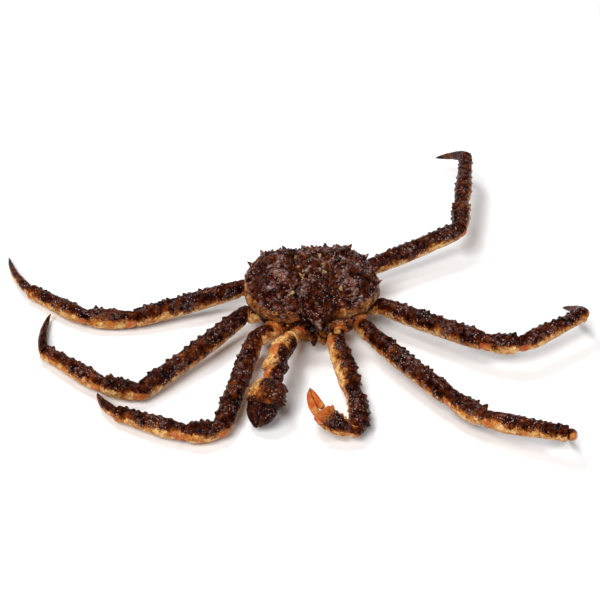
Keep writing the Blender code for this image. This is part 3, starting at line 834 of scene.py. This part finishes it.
def shade_limb(bm, drawn, kind, side, start, end, pale_angle, pale_spread):
    """Shapes each cross-section, and says where the shell is pale and where it is joint."""
    layers = layers_of(bm)
    border = math.cos(math.radians(pale_spread))
    for verts, place in drawn:
        inverse = place.inverted()
        distance = place.translation.x
        inside = fade(RIDGES_IN, start, distance) * (1 - fade(RIDGES_OUT, end, distance))
        knuckle = 1 - fade(KNUCKLE_EDGE, start, distance)
        joint = max(knuckle, CUP_ORANGE * fade(CUP_EDGE, end, distance))
        for vert in verts:
            flat = inverse @ vert.co
            angle = math.atan2(side * flat.x, flat.y)
            factor = 1 + inside * (section(kind, angle) - 1)
            vert.co = place @ Vector((flat.x * factor, flat.y * factor, flat.z))
            away = math.cos(angle - math.radians(pale_angle))
            vert[layers["pale"]] = min(max(0.5 + (away - border) * PALE_SHARPNESS, 0.0), 1.0)
            below = smoothstep(*PALE_SIDE_FROM, vert[layers["pale"]])
            orange = LIMB_ORANGE * (DARK_SIDE_ORANGE + PALE_SIDE_ORANGE * below)
            vert[layers["joint"]] = joint * (COXA_ORANGE if kind == "coxa" else orange)


def plant_limb_spines(bm, kind, girths, pose, side, start, end, turn, dice, scale):
    """Plants a piece's rows of spines, each a little out of line."""
    bed = SpineBed(bm)
    length = pose[0] * MM
    girth = girths[kind] * MM
    for angle, count, height, foot in SPINE_ROWS.get(kind, ()):
        shift = ROW_SHIFT if angle > 0 else 0.0
        for number in range(count):
            share = (number + 0.5 + dice.uniform(-ROW_STRAY, ROW_STRAY) + shift) / (count + ROW_SHIFT)
            distance = start + (ROW_FROM + ROW_LENGTH * share) * (end - start)
            turned = math.radians(angle + dice.uniform(-ROUND_STRAY, ROUND_STRAY))
            point, yaw = centreline(length, turn, distance)
            across = Vector((0, side * math.sin(turned), math.cos(turned)))
            across.rotate(Matrix.Rotation(yaw, 3, "Z"))
            growth = OUTER_GROWTH[0] + OUTER_GROWTH[1] * share
            size = scale * height * MM * dice.uniform(*HEIGHT_RANGE) * growth
            along = Vector((math.cos(yaw), math.sin(yaw), 0))
            width = foot * MM * dice.uniform(*FOOT_RANGE)
            bed.plant(point + girth * across, size, width, LIMB_LEAN * size * along)
    bed.raise_all(layers_of(bm))


def place_of(location, pose):
    """Takes a piece drawn along +X from the origin to its place, by its heading and pitch."""
    heading = Matrix.Rotation(math.radians(pose[1]), 4, "Z")
    pitch = Matrix.Rotation(-math.radians(pose[2]), 4, "Y")
    return Matrix.Translation(location) @ (heading @ pitch)


def outer_end(location, pose):
    """Where a piece ends, which is where the next one starts."""
    length, heading, pitch = pose[0] * MM, math.radians(pose[1]), math.radians(pose[2])
    level = math.cos(pitch)
    along = Vector((level * math.cos(heading), level * math.sin(heading), math.sin(pitch)))
    return location + length * along


def shoulder_of(name):
    """Where a limb leaves the body, on its own side."""
    x, y, z = SHOULDERS["claw" if name.startswith("claw") else name.split("_")[1]]
    return Vector((side_of(name) * x, y, z)) * MM


def make_limb(name, materials, sizes):
    """A whole limb from its shoulder outwards."""
    dice = random.Random(name)
    side = side_of(name)
    girths = girths_of(name)
    pale_sides = PALE_SIDES.get(name, PALE_SIDES["leg"])
    kinds = CLAW_PIECES if name.startswith("claw") else WALKING_PIECES
    location = shoulder_of(name)
    for number, (kind, pose) in enumerate(zip(kinds, POSES[name])):
        length, turn = pose[0] * MM, side * math.radians(pose[3])
        place = place_of(location, pose)
        if kind == "palm":
            make_claw(name, pose, place, materials, sizes, dice)
            continue
        next_kind = kinds[number + 1] if number + 1 < len(kinds) else None
        keys, start, end = limb_keys(kind, next_kind, girths, pose)
        sides = DACTYL_SIDES if kind == "dactyl" else LEG_SIDES
        bm, drawn = loft(length, turn, smooth_path(keys, GRID), sides)
        shade_limb(bm, drawn, kind, side, start, end, *pale_sides[kind])
        lumps = LIMB_LUMPS.get(kind, USUAL_LIMB_LUMPS) * sizes.lump_height
        roughen(bm, LIMB_WAVES, dice.uniform(*LIMB_WAVES_SEEDS), lumps)
        plant_limb_spines(bm, kind, girths, pose, side, start, end, turn, dice, sizes.limb_spines)
        finish_piece(f"{name}_{kind}_shell", bm, materials["limb"], [f"{name}_{kind}"], place)
        location = outer_end(location, pose)


# ---------------------------------------------------------------- claws

def finger_keys(length, girth, outline):
    """The outline of one finger, in the palm's own frame."""
    return [
        (share * length, FINGER_WIDTH * half * girth, FINGER_FULLNESS * half * girth, rise * girth)
        for share, half, rise in outline
    ]


def palm_keys(name, length, girth):
    """The outline of a palm, from its knuckle to the tip of its fixed finger."""
    ball = BALL_SHARE["palm"] * girth
    keys = [(along * ball, width * ball, height * ball, 0.0) for along, width, height in PALM_KNUCKLE]
    for share, half in PALM_OUTLINES[name]:
        keys.append((share * length, PALM_WIDTH * half * girth, half * girth, 0.0))
    return keys + finger_keys(length, FINGER_SHARE[name] * girth, FIXED_FINGER)


def shade_fingers(bm, drawn, name, label):
    """Colours a claw's fingers, darkens their tips, and paints shade along the seam where they meet."""
    layers = layers_of(bm)
    begin, inner = FINGER_SHADES[label]
    for number, (verts, place) in enumerate(drawn):
        share = number / (len(drawn) - 1)
        inverse = place.inverted()
        orange = FINGER_ORANGE[name] * smoothstep(begin, begin + ORANGE_SPAN, share)
        dark = FINGER_DARK[name] * smoothstep(begin, begin + DARK_SPAN, share)
        dark = max(dark, FINGER_TIP_DARK * smoothstep(*FINGER_TIP_SPAN, share))
        for vert in verts:
            # Painted shade along the seam, on the side where the fingers meet; it goes into the tip layer
            seam = SEAM_SHADE * smoothstep(*SEAM_FACING, inner * (inverse @ vert.co).y)
            seam *= fade(SEAM_SPAN, begin, share)
            vert[layers["tip"]] = max(vert[layers["tip"]], seam, dark)
            vert[layers["joint"]] = max(vert[layers["joint"]], orange)


def fade_pale(bm, length, share):
    """Ends the pale side of a claw at a share of its length, unless that is the whole of it."""
    layers = layers_of(bm)
    for vert in bm.verts:
        if share < 1:
            vert[layers["pale"]] *= 1 - smoothstep(share, share + PALM_PALE_FADE, vert.co.x / length)


def make_claw(name, pose, place, materials, sizes, dice):
    """The palm with its fixed finger, and the moving finger above it."""
    side = side_of(name)
    girths = girths_of(name)
    length, turn = pose[0] * MM, side * math.radians(pose[3])
    girth = girths["palm"] * MM
    start = PALM_FROM * BALL_SHARE["palm"] * girth
    roll = math.radians(PALM_ROLLS[name])
    for label, keys, sides in (
        ("palm", palm_keys(name, length, girth), PALM_SIDES),
        ("finger", finger_keys(length, FINGER_SHARE[name] * girth, MOVING_FINGER), FINGER_SIDES),
    ):
        bm, drawn = loft(length, turn, smooth_path(keys, GRID), sides, roll)
        shade_limb(bm, drawn, "dactyl", side, start, length * 2, *PALE_SIDES[name]["palm"])
        fade_pale(bm, length, PALM_PALE_TO[name])
        lumps = LIMB_LUMPS.get(label, USUAL_LIMB_LUMPS) * sizes.lump_height
        roughen(bm, CLAW_WAVES, dice.uniform(*LIMB_WAVES_SEEDS), lumps)
        shade_fingers(bm, drawn, name, label)
        if label == "palm":
            end = PALM_SPINES_TO * length
            plant_limb_spines(bm, "palm", girths, pose, side, start, end, turn, dice, sizes.limb_spines)
        finish_piece(f"{name}_{label}_shell", bm, materials["limb"], [f"{name}_{label}"], place)


# ---------------------------------------------------------------- body

def swelling(x, y, places):
    """The rise of a table of rounded swellings, which both sides of the back share."""
    total = 0.0
    for centre_x, centre_y, radius, rise in places:
        for mirrored in sorted({centre_x, -centre_x}):
            away = math.hypot(x / MM - mirrored, y / MM - centre_y) / radius
            total += rise * MM * math.exp(-away * away)
    return total


def groove(x, y):
    """Rises to 1 in the narrow grooves between the swellings of the back."""
    spot = Vector((abs(x) / MM, y / MM))
    line = [Vector(corner) for corner in GROOVE_LINE]
    away = min(distance_to(spot, start, end) for start, end in zip(line, line[1:]))
    return math.exp(-(away / GROOVE_WIDTH) ** 2)


def distance_to(spot, start, end):
    """How far a spot is from the straight piece between two others."""
    share = min(max((spot - start).dot(end - start) / (end - start).length_squared, 0.0), 1.0)
    return (spot - start.lerp(end, share)).length


def ring_of_lumps(x, y):
    """From 0 to 1 on the raised rings round the middles of the outer swellings."""
    total = 0.0
    for centre_x, centre_y, radius, width in LUMP_RINGS:
        for mirrored in sorted({centre_x, -centre_x}):
            away = math.hypot(x / MM - mirrored, y / MM - centre_y)
            total += math.exp(-((away - radius) / width) ** 2)
    return min(total, 1.0)


def back_height(x, y):
    """The height of the back's shell over a place inside its margin."""
    level = min(1.0, math.hypot(x, y) / outline_radius(BACK_RADII, direction_of(x, y)))
    lift = math.sqrt(1 - level * level)
    relief = swelling(x, y, BACK_REGIONS) - HOLLOW_SHARE * swelling(x, y, BACK_GROOVES)
    relief -= GROOVE_DEPTH * groove(x, y) + swelling(x, y, DIPS)
    relief += LUMP_RING_HEIGHT * ring_of_lumps(x, y)
    return MARGIN_Z + DOME_HEIGHT * lift ** DOME_FULLNESS + relief * lift ** RELIEF_FADE


def dome(cuts):
    """The upper half of a ball made from a cube's squares, closed below by one face."""
    bm = new_mesh()
    bmesh.ops.create_cube(bm, size=2.0)
    bmesh.ops.subdivide_edges(bm, edges=bm.edges, cuts=cuts, use_grid_fill=True)
    for vert in bm.verts:
        vert.co = Vector([math.tan(value * math.pi / 4) for value in vert.co]).normalized()
    everything = bm.verts[:] + bm.edges[:] + bm.faces[:]
    bmesh.ops.bisect_plane(
        bm, geom=everything, dist=1e-5, plane_co=(0, 0, 0), plane_no=(0, 0, -1), clear_outer=True,
    )
    boundary = [edge for edge in bm.edges if edge.is_boundary]
    floor = bmesh.ops.holes_fill(bm, edges=boundary, sides=0)["faces"][0]
    return bm, floor


def rim_pale(x, y, level):
    """The tan stripe along the margin: widest at the front corners, gone at the snout and the rear."""
    direction = abs(direction_of(x, y))
    front = smoothstep(*STRIPE_FROM, direction)
    rear = 1 - STRIPE_REAR_LOSS * smoothstep(*STRIPE_TO, direction)
    return STRIPE * front * rear * smoothstep(*STRIPE_BAND, level)


def make_carapace(materials, sizes):
    """The domed back with its swellings and grooves, a margin that turns under, and its spines."""
    bm, floor = dome(BACK_CUTS)
    layers = layers_of(bm)
    for vert in bm.verts:
        level = math.hypot(vert.co.x, vert.co.y)
        radius = outline_radius(BACK_RADII, direction_of(vert.co.x, vert.co.y))
        x, y = vert.co.x * radius, vert.co.y * radius
        vert.co = Vector((x, y, back_height(x, y) if level < ON_MARGIN else MARGIN_Z))
        if level < HOLLOWS_WITHIN:
            depth = GROOVE_YELLOW * groove(x, y) + swelling(x, y, PITS) / PIT_FULL_DEPTH
            vert[layers["hollow"]] = min(1.0, depth)
        # Painted glints on the raised rings round the dips
        vert[layers["raised"]] = LUMP_RING_GLINT * ring_of_lumps(x, y)
        vert[layers["pale"]] = rim_pale(x, y, level)
    for share, down in MARGIN_TURN:
        floor = bmesh.ops.extrude_discrete_faces(bm, faces=[floor])["faces"][0]
        z = MARGIN_Z + (MARGIN_UNDER_Z - MARGIN_Z) * down
        for vert in floor.verts:
            radius = share * outline_radius(BACK_RADII, direction_of(vert.co.x, vert.co.y))
            flat = Vector((vert.co.x, vert.co.y)).normalized() * radius
            vert.co = Vector((flat.x, flat.y, z))
            vert[layers["pale"]] = rim_pale(vert.co.x, vert.co.y, 1.0) * (1 - STRIPE_UNDER_LOSS * down)
    bmesh.ops.recalc_face_normals(bm, faces=bm.faces)
    draw_snout(bm)
    roughen(bm, BACK_WAVES, BACK_WAVES_SEED, BACK_LUMPS * sizes.lump_height)
    roughen(bm, BACK_RIPPLES, BACK_RIPPLES_SEED)
    plant_back_spines(bm, sizes)
    finish_piece("carapace_shell", bm, materials["back"], ["carapace"])


def draw_snout(bm):
    """Pulls the front of the margin out to the snout's blunt tip."""
    front = Vector((0, -outline_radius(BACK_RADII, 0), MARGIN_Z))
    for vert in bm.verts:
        across, along = vert.co.x - front.x, vert.co.y - front.y
        pull = math.exp(-Vector((across / SNOUT_SPREAD[0], along / SNOUT_SPREAD[1])).length_squared)
        if pull > SNOUT_LEAST:
            vert.co.y -= SNOUT_PULL * SNOUT_LENGTH * pull
            vert.co.x *= 1 - SNOUT_PINCH * pull
            vert.co.z += pull * (front.z - SNOUT_DROP - vert.co.z) * SNOUT_SINK


def plant_back_spines(bm, sizes):
    """Spines stand in rings on the swellings and in a row on the margin, with smaller ones between."""
    dice = random.Random(BACK_SPINES_SEED)
    bed = SpineBed(bm)
    tallest = sizes.back_spines * MM
    for number in range(MARGIN_SPINES):
        direction = MARGIN_SPINES_FROM + number * (180 - MARGIN_SPINES_FROM) / (MARGIN_SPINES - 1)
        for side in (-1, 1) if number < MARGIN_SPINES - 1 else (1,):
            plant_on_margin(bed, direction * side, tallest, MARGIN_SPINE)
    for number in range(FRONT_SPINES):
        direction = FRONT_SPINES_FROM + number * FRONT_SPINES_SPAN / (FRONT_SPINES - 1)
        for side in (-1, 1):
            plant_on_margin(bed, direction * side, tallest, FRONT_SPINE)
    for centre_x, centre_y, radius, count in BACK_SPINE_RINGS:
        for mirrored in sorted({centre_x, -centre_x}):
            for number in range(count):
                angle = math.tau * (number + 0.5) / count
                spot = (mirrored + radius * math.cos(angle), centre_y + radius * math.sin(angle))
                plant_on_back(bed, Vector(spot) * MM, tallest, RING_SPINE_FOOT, BACK_LEAN)
    for _ in range(SMALL_SPINES):
        direction = dice.uniform(-180, 180)
        spot = polar(direction, math.sqrt(dice.uniform(0.0, SMALL_SPINES_WITHIN)))
        size = dice.uniform(*SMALL_SPINE_SIZES)
        foot = (SMALL_SPINE_FEET[0] + SMALL_SPINE_FEET[1] * size) * MM
        plant_on_back(bed, spot, size * tallest, foot, BACK_LEAN)
    bed.raise_all(layers_of(bm))


def plant_on_margin(bed, direction, tallest, spine):
    """Plants one of the margin's spines, in a direction in degrees from the front."""
    share, size, foot, outwards = spine
    plant_on_back(bed, polar(direction, share), size * tallest, foot, outwards)


def polar(direction, share):
    """The place on the back in a direction, in degrees from the front, at a share of its radius."""
    radius = share * outline_radius(BACK_RADII, direction)
    angle = math.radians(direction)
    return Vector((radius * math.sin(angle), -radius * math.cos(angle)))


def plant_on_back(bed, spot, height, foot, outwards):
    """Plants a spine that leans away from the middle of the back."""
    place = Vector((spot.x, spot.y, back_height(spot.x, spot.y)))
    lean = Vector((spot.x, spot.y - LEAN_CENTRE_Y, 0)).normalized() * outwards * height
    bed.plant(place, height, foot, lean)


def stack(radii, rings, step, sides):
    """A closed solid of outlines one under another, from the top down."""
    bm = new_mesh()
    start = bmesh.ops.create_circle(bm, cap_ends=True, segments=sides, radius=1.0)
    cap = start["verts"][0].link_faces[0]
    keys = [(z * MM, share * USUAL_RADIUS, 0, 0) for z, share in rings]
    for number, (z, reach, _, _) in enumerate(smooth_path(keys, step)):
        if number:
            cap = bmesh.ops.extrude_discrete_faces(bm, faces=[cap])["faces"][0]
        for vert in cap.verts:
            direction = math.atan2(vert.co.x, -vert.co.y)
            radius = reach / USUAL_RADIUS * outline_radius(radii, math.degrees(direction))
            vert.co = Vector((radius * math.sin(direction), -radius * math.cos(direction), z))
    bmesh.ops.holes_fill(bm, edges=[edge for edge in bm.edges if edge.is_boundary], sides=sides)
    return bm


def make_underbody(materials, sizes):
    """The breast and cheeks, with a raised collar round the root of each limb."""
    bm = stack(BODY_RADII, BODY_CAP + BODY_RINGS + BODY_BASE, GRID, BODY_SIDES)
    layers = layers_of(bm)
    bmesh.ops.recalc_face_normals(bm, faces=bm.faces)
    bm.normal_update()
    for vert in bm.verts:
        below = smoothstep(*BODY_PALE_BAND, vert.co.z)
        vert[layers["pale"]] = BODY_PALE + (1 - BODY_PALE) * below
        for name in POSES:
            away = (vert.co - shoulder_of(name)).length / (girths_of(name)["coxa"] * MM)
            vert.co += COLLAR_HEIGHT * hump(away, COLLAR) * vert.normal
            vert[layers["joint"]] = max(vert[layers["joint"]], COLLAR_ORANGE * hump(away, COLLAR_SKIN))
    roughen(bm, BODY_WAVES, BODY_WAVES_SEED, sizes.lump_height)
    finish_piece("underbody_shell", bm, materials["belly"], ["underbody"])


def hump(value, shape):
    """A rounded hump of height 1: where its middle is, and how wide it is."""
    middle, width = shape
    return math.exp(-((value - middle) / width) ** 2)


def make_tail(materials):
    """The tail, folded flat under the breast."""
    bm = stack(TAIL_RADII, TAIL_CAP + TAIL_RINGS + TAIL_BASE, TAIL_GRID, TAIL_SIDES)
    paint_pale(bm, 1.0)
    finish_piece("tail_flap_shell", bm, materials["belly"], ["tail_flap"])


def paint_pale(bm, pale):
    """Makes a whole piece equally pale."""
    layer = bm.verts.layers.float["pale"]
    for vert in bm.verts:
        vert[layer] = pale


# ---------------------------------------------------------------- face

def make_face(materials):
    """Eyes on short stalks, the stubs of the feelers, and the jaw legs under the mouth."""
    for label, side in (("left", 1), ("right", -1)):
        for name, (place, outwards, pitch, slot, pale, outline) in FACE_PIECES.items():
            keys = [(at * MM, radius * MM, radius * MM, 0.0) for at, radius in outline]
            bm, _ = loft(outline[-1][0] * MM, 0.0, smooth_path(keys, FACE_GRID), FACE_SIDES)
            paint_pale(bm, pale)
            x, y, z = place
            matrix = place_of(Vector((side * x, y, z)) * MM, (0, -90 + side * outwards, pitch))
            material = materials["eye" if slot == "eye" else "limb"]
            finish_piece(f"{name}_{label}_shell", bm, material, [f"{name}_{label}"], matrix)


# ---------------------------------------------------------------- what a user can change

def colour_property(name, description, default):
    """A colour that a user can change, in linear red, green and blue."""
    return bpy.props.FloatVectorProperty(
        name=name, description=description, default=default, subtype="COLOR", size=3, min=0.0, max=1.0,
    )


class CrabColours(bpy.types.PropertyGroup):
    """Colours of the shell."""

    black: colour_property("Black", "Darkest patches on top", (0.0030, 0.0004, 0.0002))
    maroon: colour_property("Maroon", "Main colour on top", (0.027, 0.0028, 0.0005))
    brown: colour_property("Brown", "Lighter patches on top", (0.078, 0.0150, 0.0022))
    rust: colour_property(
        "Rust", "Reddest patches on top and blotches of the pale side", (0.185, 0.042, 0.0060),
    )
    # Colour of the painted glints (painted highlights) on the lumps of the top
    violet_glint: colour_property("Violet", "Rubbed lumps of the top", (0.165, 0.104, 0.098))
    orange: colour_property("Orange", "Deep colour of the pale side", (0.46, 0.125, 0.016))
    tan: colour_property("Tan", "Main colour of the pale side", (0.50, 0.222, 0.055))
    cream: colour_property("Cream", "Lightest colour of the pale side", (0.80, 0.510, 0.220))
    yellow: colour_property("Yellow", "Yellow patches of the pale side", (0.46, 0.270, 0.052))
    olive: colour_property("Olive", "Yellowish pits of the back", (0.44, 0.290, 0.110))
    red: colour_property("Red", "Skin of the joints", (0.42, 0.068, 0.020))
    speck: colour_property("Specks", "Small pale specks", (0.42, 0.320, 0.310))
    tip: colour_property("Spine tips", "Points of the spines", (0.010, 0.006, 0.006))


class CrabSizes(bpy.types.PropertyGroup):
    """Sizes of the spines and lumps."""

    back_spines: bpy.props.FloatProperty(
        name="Back spines", description="Height of the tallest spines of the back in mm",
        default=8.2, min=1.0, max=10.0,
    )
    limb_spines: bpy.props.FloatProperty(
        name="Limb spines", description="Height of the limbs' spines, as a share of their usual height",
        default=1.0, min=0.2, max=1.5, subtype="FACTOR",
    )
    lump_height: bpy.props.FloatProperty(
        name="Lumps", description="Height of the small lumps on the shell",
        default=0.0006, min=0.0, max=0.002, unit="LENGTH",
    )


class CrabStage(bpy.types.PropertyGroup):
    """The floor, lights and camera."""

    floor: colour_property("Floor", "Colour of the floor", (0.90, 0.90, 0.90))
    sun: bpy.props.FloatProperty(
        name="Main light", description="Strength of the wide main light", default=2.9, min=0.0,
    )
    key_power: bpy.props.FloatProperty(
        name="Top light", description="Power of the soft box above", default=12.0, min=0.0, unit="POWER",
    )
    fill_power: bpy.props.FloatProperty(
        name="Side light", description="Power of the soft box in front", default=6.0, min=0.0, unit="POWER",
    )
    sky: bpy.props.FloatProperty(
        name="Room light", description="Light from all round", default=0.14, min=0.0,
    )
    lens: bpy.props.FloatProperty(
        name="Lens", description="Focal length in mm", default=83.516, min=10.0,
    )


MATERIALS = {}


def materials_for(scene):
    """The crab's materials, made once."""
    if not MATERIALS:
        colours = scene.crab_colours
        MATERIALS["limb"] = shell_paint("limb_shell", colours)
        # The back has the strongest painted glints (painted highlights) on its raised parts
        MATERIALS["back"] = shell_paint("back_shell", colours, glint_strength=0.85, blotches=0.8, tone=0.66)
        MATERIALS["belly"] = shell_paint("belly_shell", colours, blotches=0.8, tone=0.9)
        MATERIALS["eye"] = eye_paint("eye_black", (0.006, 0.005, 0.006), (0.02, 0.012, 0.012))
    return MATERIALS


class CRAB_OT_carapace(bpy.types.Operator):
    """Makes the domed, spiny back"""

    bl_idname = "crab.carapace"
    bl_label = "Back"

    def execute(self, context):
        make_carapace(materials_for(context.scene), context.scene.crab_sizes)
        return {"FINISHED"}


class CRAB_OT_underbody(bpy.types.Operator):
    """Makes the breast under the back and the folded tail"""

    bl_idname = "crab.underbody"
    bl_label = "Breast and tail"

    def execute(self, context):
        make_underbody(materials_for(context.scene), context.scene.crab_sizes)
        make_tail(materials_for(context.scene))
        return {"FINISHED"}


class CRAB_OT_limbs(bpy.types.Operator):
    """Makes the six walking legs and the two claws"""

    bl_idname = "crab.limbs"
    bl_label = "Legs and claws"

    def execute(self, context):
        for name in POSES:
            make_limb(name, materials_for(context.scene), context.scene.crab_sizes)
        return {"FINISHED"}


class CRAB_OT_face(bpy.types.Operator):
    """Makes the eyes, feelers and jaws"""

    bl_idname = "crab.face"
    bl_label = "Face"

    def execute(self, context):
        make_face(materials_for(context.scene))
        return {"FINISHED"}


class CRAB_OT_stage(bpy.types.Operator):
    """Makes the floor, the lights and the camera"""

    bl_idname = "crab.stage"
    bl_label = "Stage"

    def execute(self, context):
        settings = context.scene.crab_stage
        make_floor(settings)
        make_lights(settings)
        make_camera(settings)
        return {"FINISHED"}


def make_floor(settings):
    """A wide plain floor, hardly mottled."""
    bm = bmesh.new()
    bmesh.ops.create_grid(bm, x_segments=1, y_segments=1, size=FLOOR_REACH)
    mesh = bpy.data.meshes.new("floor")
    bm.to_mesh(mesh)
    bm.free()
    paint = Paint("floor")
    darkest = [FLOOR_DRIFT * value for value in settings.floor]
    tint = paint.ramp(paint.noise(2.0, detail=1.0), ((0.3, darkest), (0.7, settings.floor)))
    normal = paint.bump(paint.noise(400), 0.1 * MM, 0.2)
    mesh.materials.append(paint.finish(tint, 0.6, normal, specular=0.2))
    floor = bpy.data.objects.new("floor", mesh)
    bpy.context.scene.collection.objects.link(floor)


def make_lights(settings):
    """A wide sun without a glint of its own, two soft boxes, and even light from all round."""
    world = bpy.data.worlds.new("room")
    world.use_nodes = True
    background = world.node_tree.nodes["Background"]
    background.inputs["Color"].default_value = (1.0, 1.0, 1.0, 1.0)
    background.inputs["Strength"].default_value = settings.sky
    bpy.context.scene.world = world
    bpy.context.scene.view_settings.view_transform = "Standard"
    sun = bpy.data.lights.new("sun", "SUN")
    sun.energy = settings.sun
    sun.angle = math.radians(SUN_WIDTH)
    key = bpy.data.lights.new("key", "AREA")
    key.energy = settings.key_power
    key.size = KEY_SIZE
    fill = bpy.data.lights.new("fill", "AREA")
    fill.energy = settings.fill_power
    fill.size = FILL_SIZE
    for light in (sun, key, fill):
        lamp = bpy.data.objects.new(light.name, light)
        lamp.visible_glossy = light is not sun
        lamp.location = LIGHT_PLACES[light.name]
        lamp.rotation_euler = Vector(lamp.location).to_track_quat("Z", "Y").to_euler()
        bpy.context.scene.collection.objects.link(lamp)


def make_camera(settings):
    """Looks down at the crab's face, a little from its right."""
    elevation, azimuth = math.radians(CAMERA_ELEVATION), math.radians(CAMERA_AZIMUTH)
    back = Vector((
        math.sin(azimuth) * math.cos(elevation),
        -math.cos(azimuth) * math.cos(elevation),
        math.sin(elevation),
    ))
    lens = bpy.data.cameras.new("camera")
    lens.lens = settings.lens
    lens.sensor_width = SENSOR_WIDTH
    lens.clip_start = NEAREST_SEEN
    camera = bpy.data.objects.new("camera", lens)
    camera.location = Vector(CAMERA_TARGET) * MM + CAMERA_DISTANCE * back
    camera.rotation_euler = back.to_track_quat("Z", "Y").to_euler()
    bpy.context.scene.collection.objects.link(camera)
    bpy.context.scene.camera = camera


OPERATORS = (CRAB_OT_carapace, CRAB_OT_underbody, CRAB_OT_limbs, CRAB_OT_face, CRAB_OT_stage)


class CRAB_PT_panel(bpy.types.Panel):
    """Lists the crab's pieces and settings"""

    bl_label = "King Crab"
    bl_idname = "CRAB_PT_panel"
    bl_space_type = "VIEW_3D"
    bl_region_type = "UI"
    bl_category = "Crab"

    def draw(self, context):
        scene = context.scene
        for group in (scene.crab_sizes, scene.crab_colours, scene.crab_stage):
            for key in group.bl_rna.properties.keys():
                if key not in ("rna_type", "name"):
                    self.layout.prop(group, key)
        for operator in OPERATORS:
            self.layout.operator(operator.bl_idname)


GROUPS = {"crab_colours": CrabColours, "crab_sizes": CrabSizes, "crab_stage": CrabStage}


def register():
    for cls in (*GROUPS.values(), *OPERATORS, CRAB_PT_panel):
        bpy.utils.register_class(cls)
    for key, cls in GROUPS.items():
        setattr(bpy.types.Scene, key, bpy.props.PointerProperty(type=cls))


def unregister():
    for key in GROUPS:
        delattr(bpy.types.Scene, key)
    for cls in reversed((*GROUPS.values(), *OPERATORS, CRAB_PT_panel)):
        bpy.utils.unregister_class(cls)


def main():
    register()
    bpy.ops.crab.carapace()
    bpy.ops.crab.underbody()
    bpy.ops.crab.limbs()
    bpy.ops.crab.face()
    bpy.ops.crab.stage()


if __name__ == "__main__":
    main()
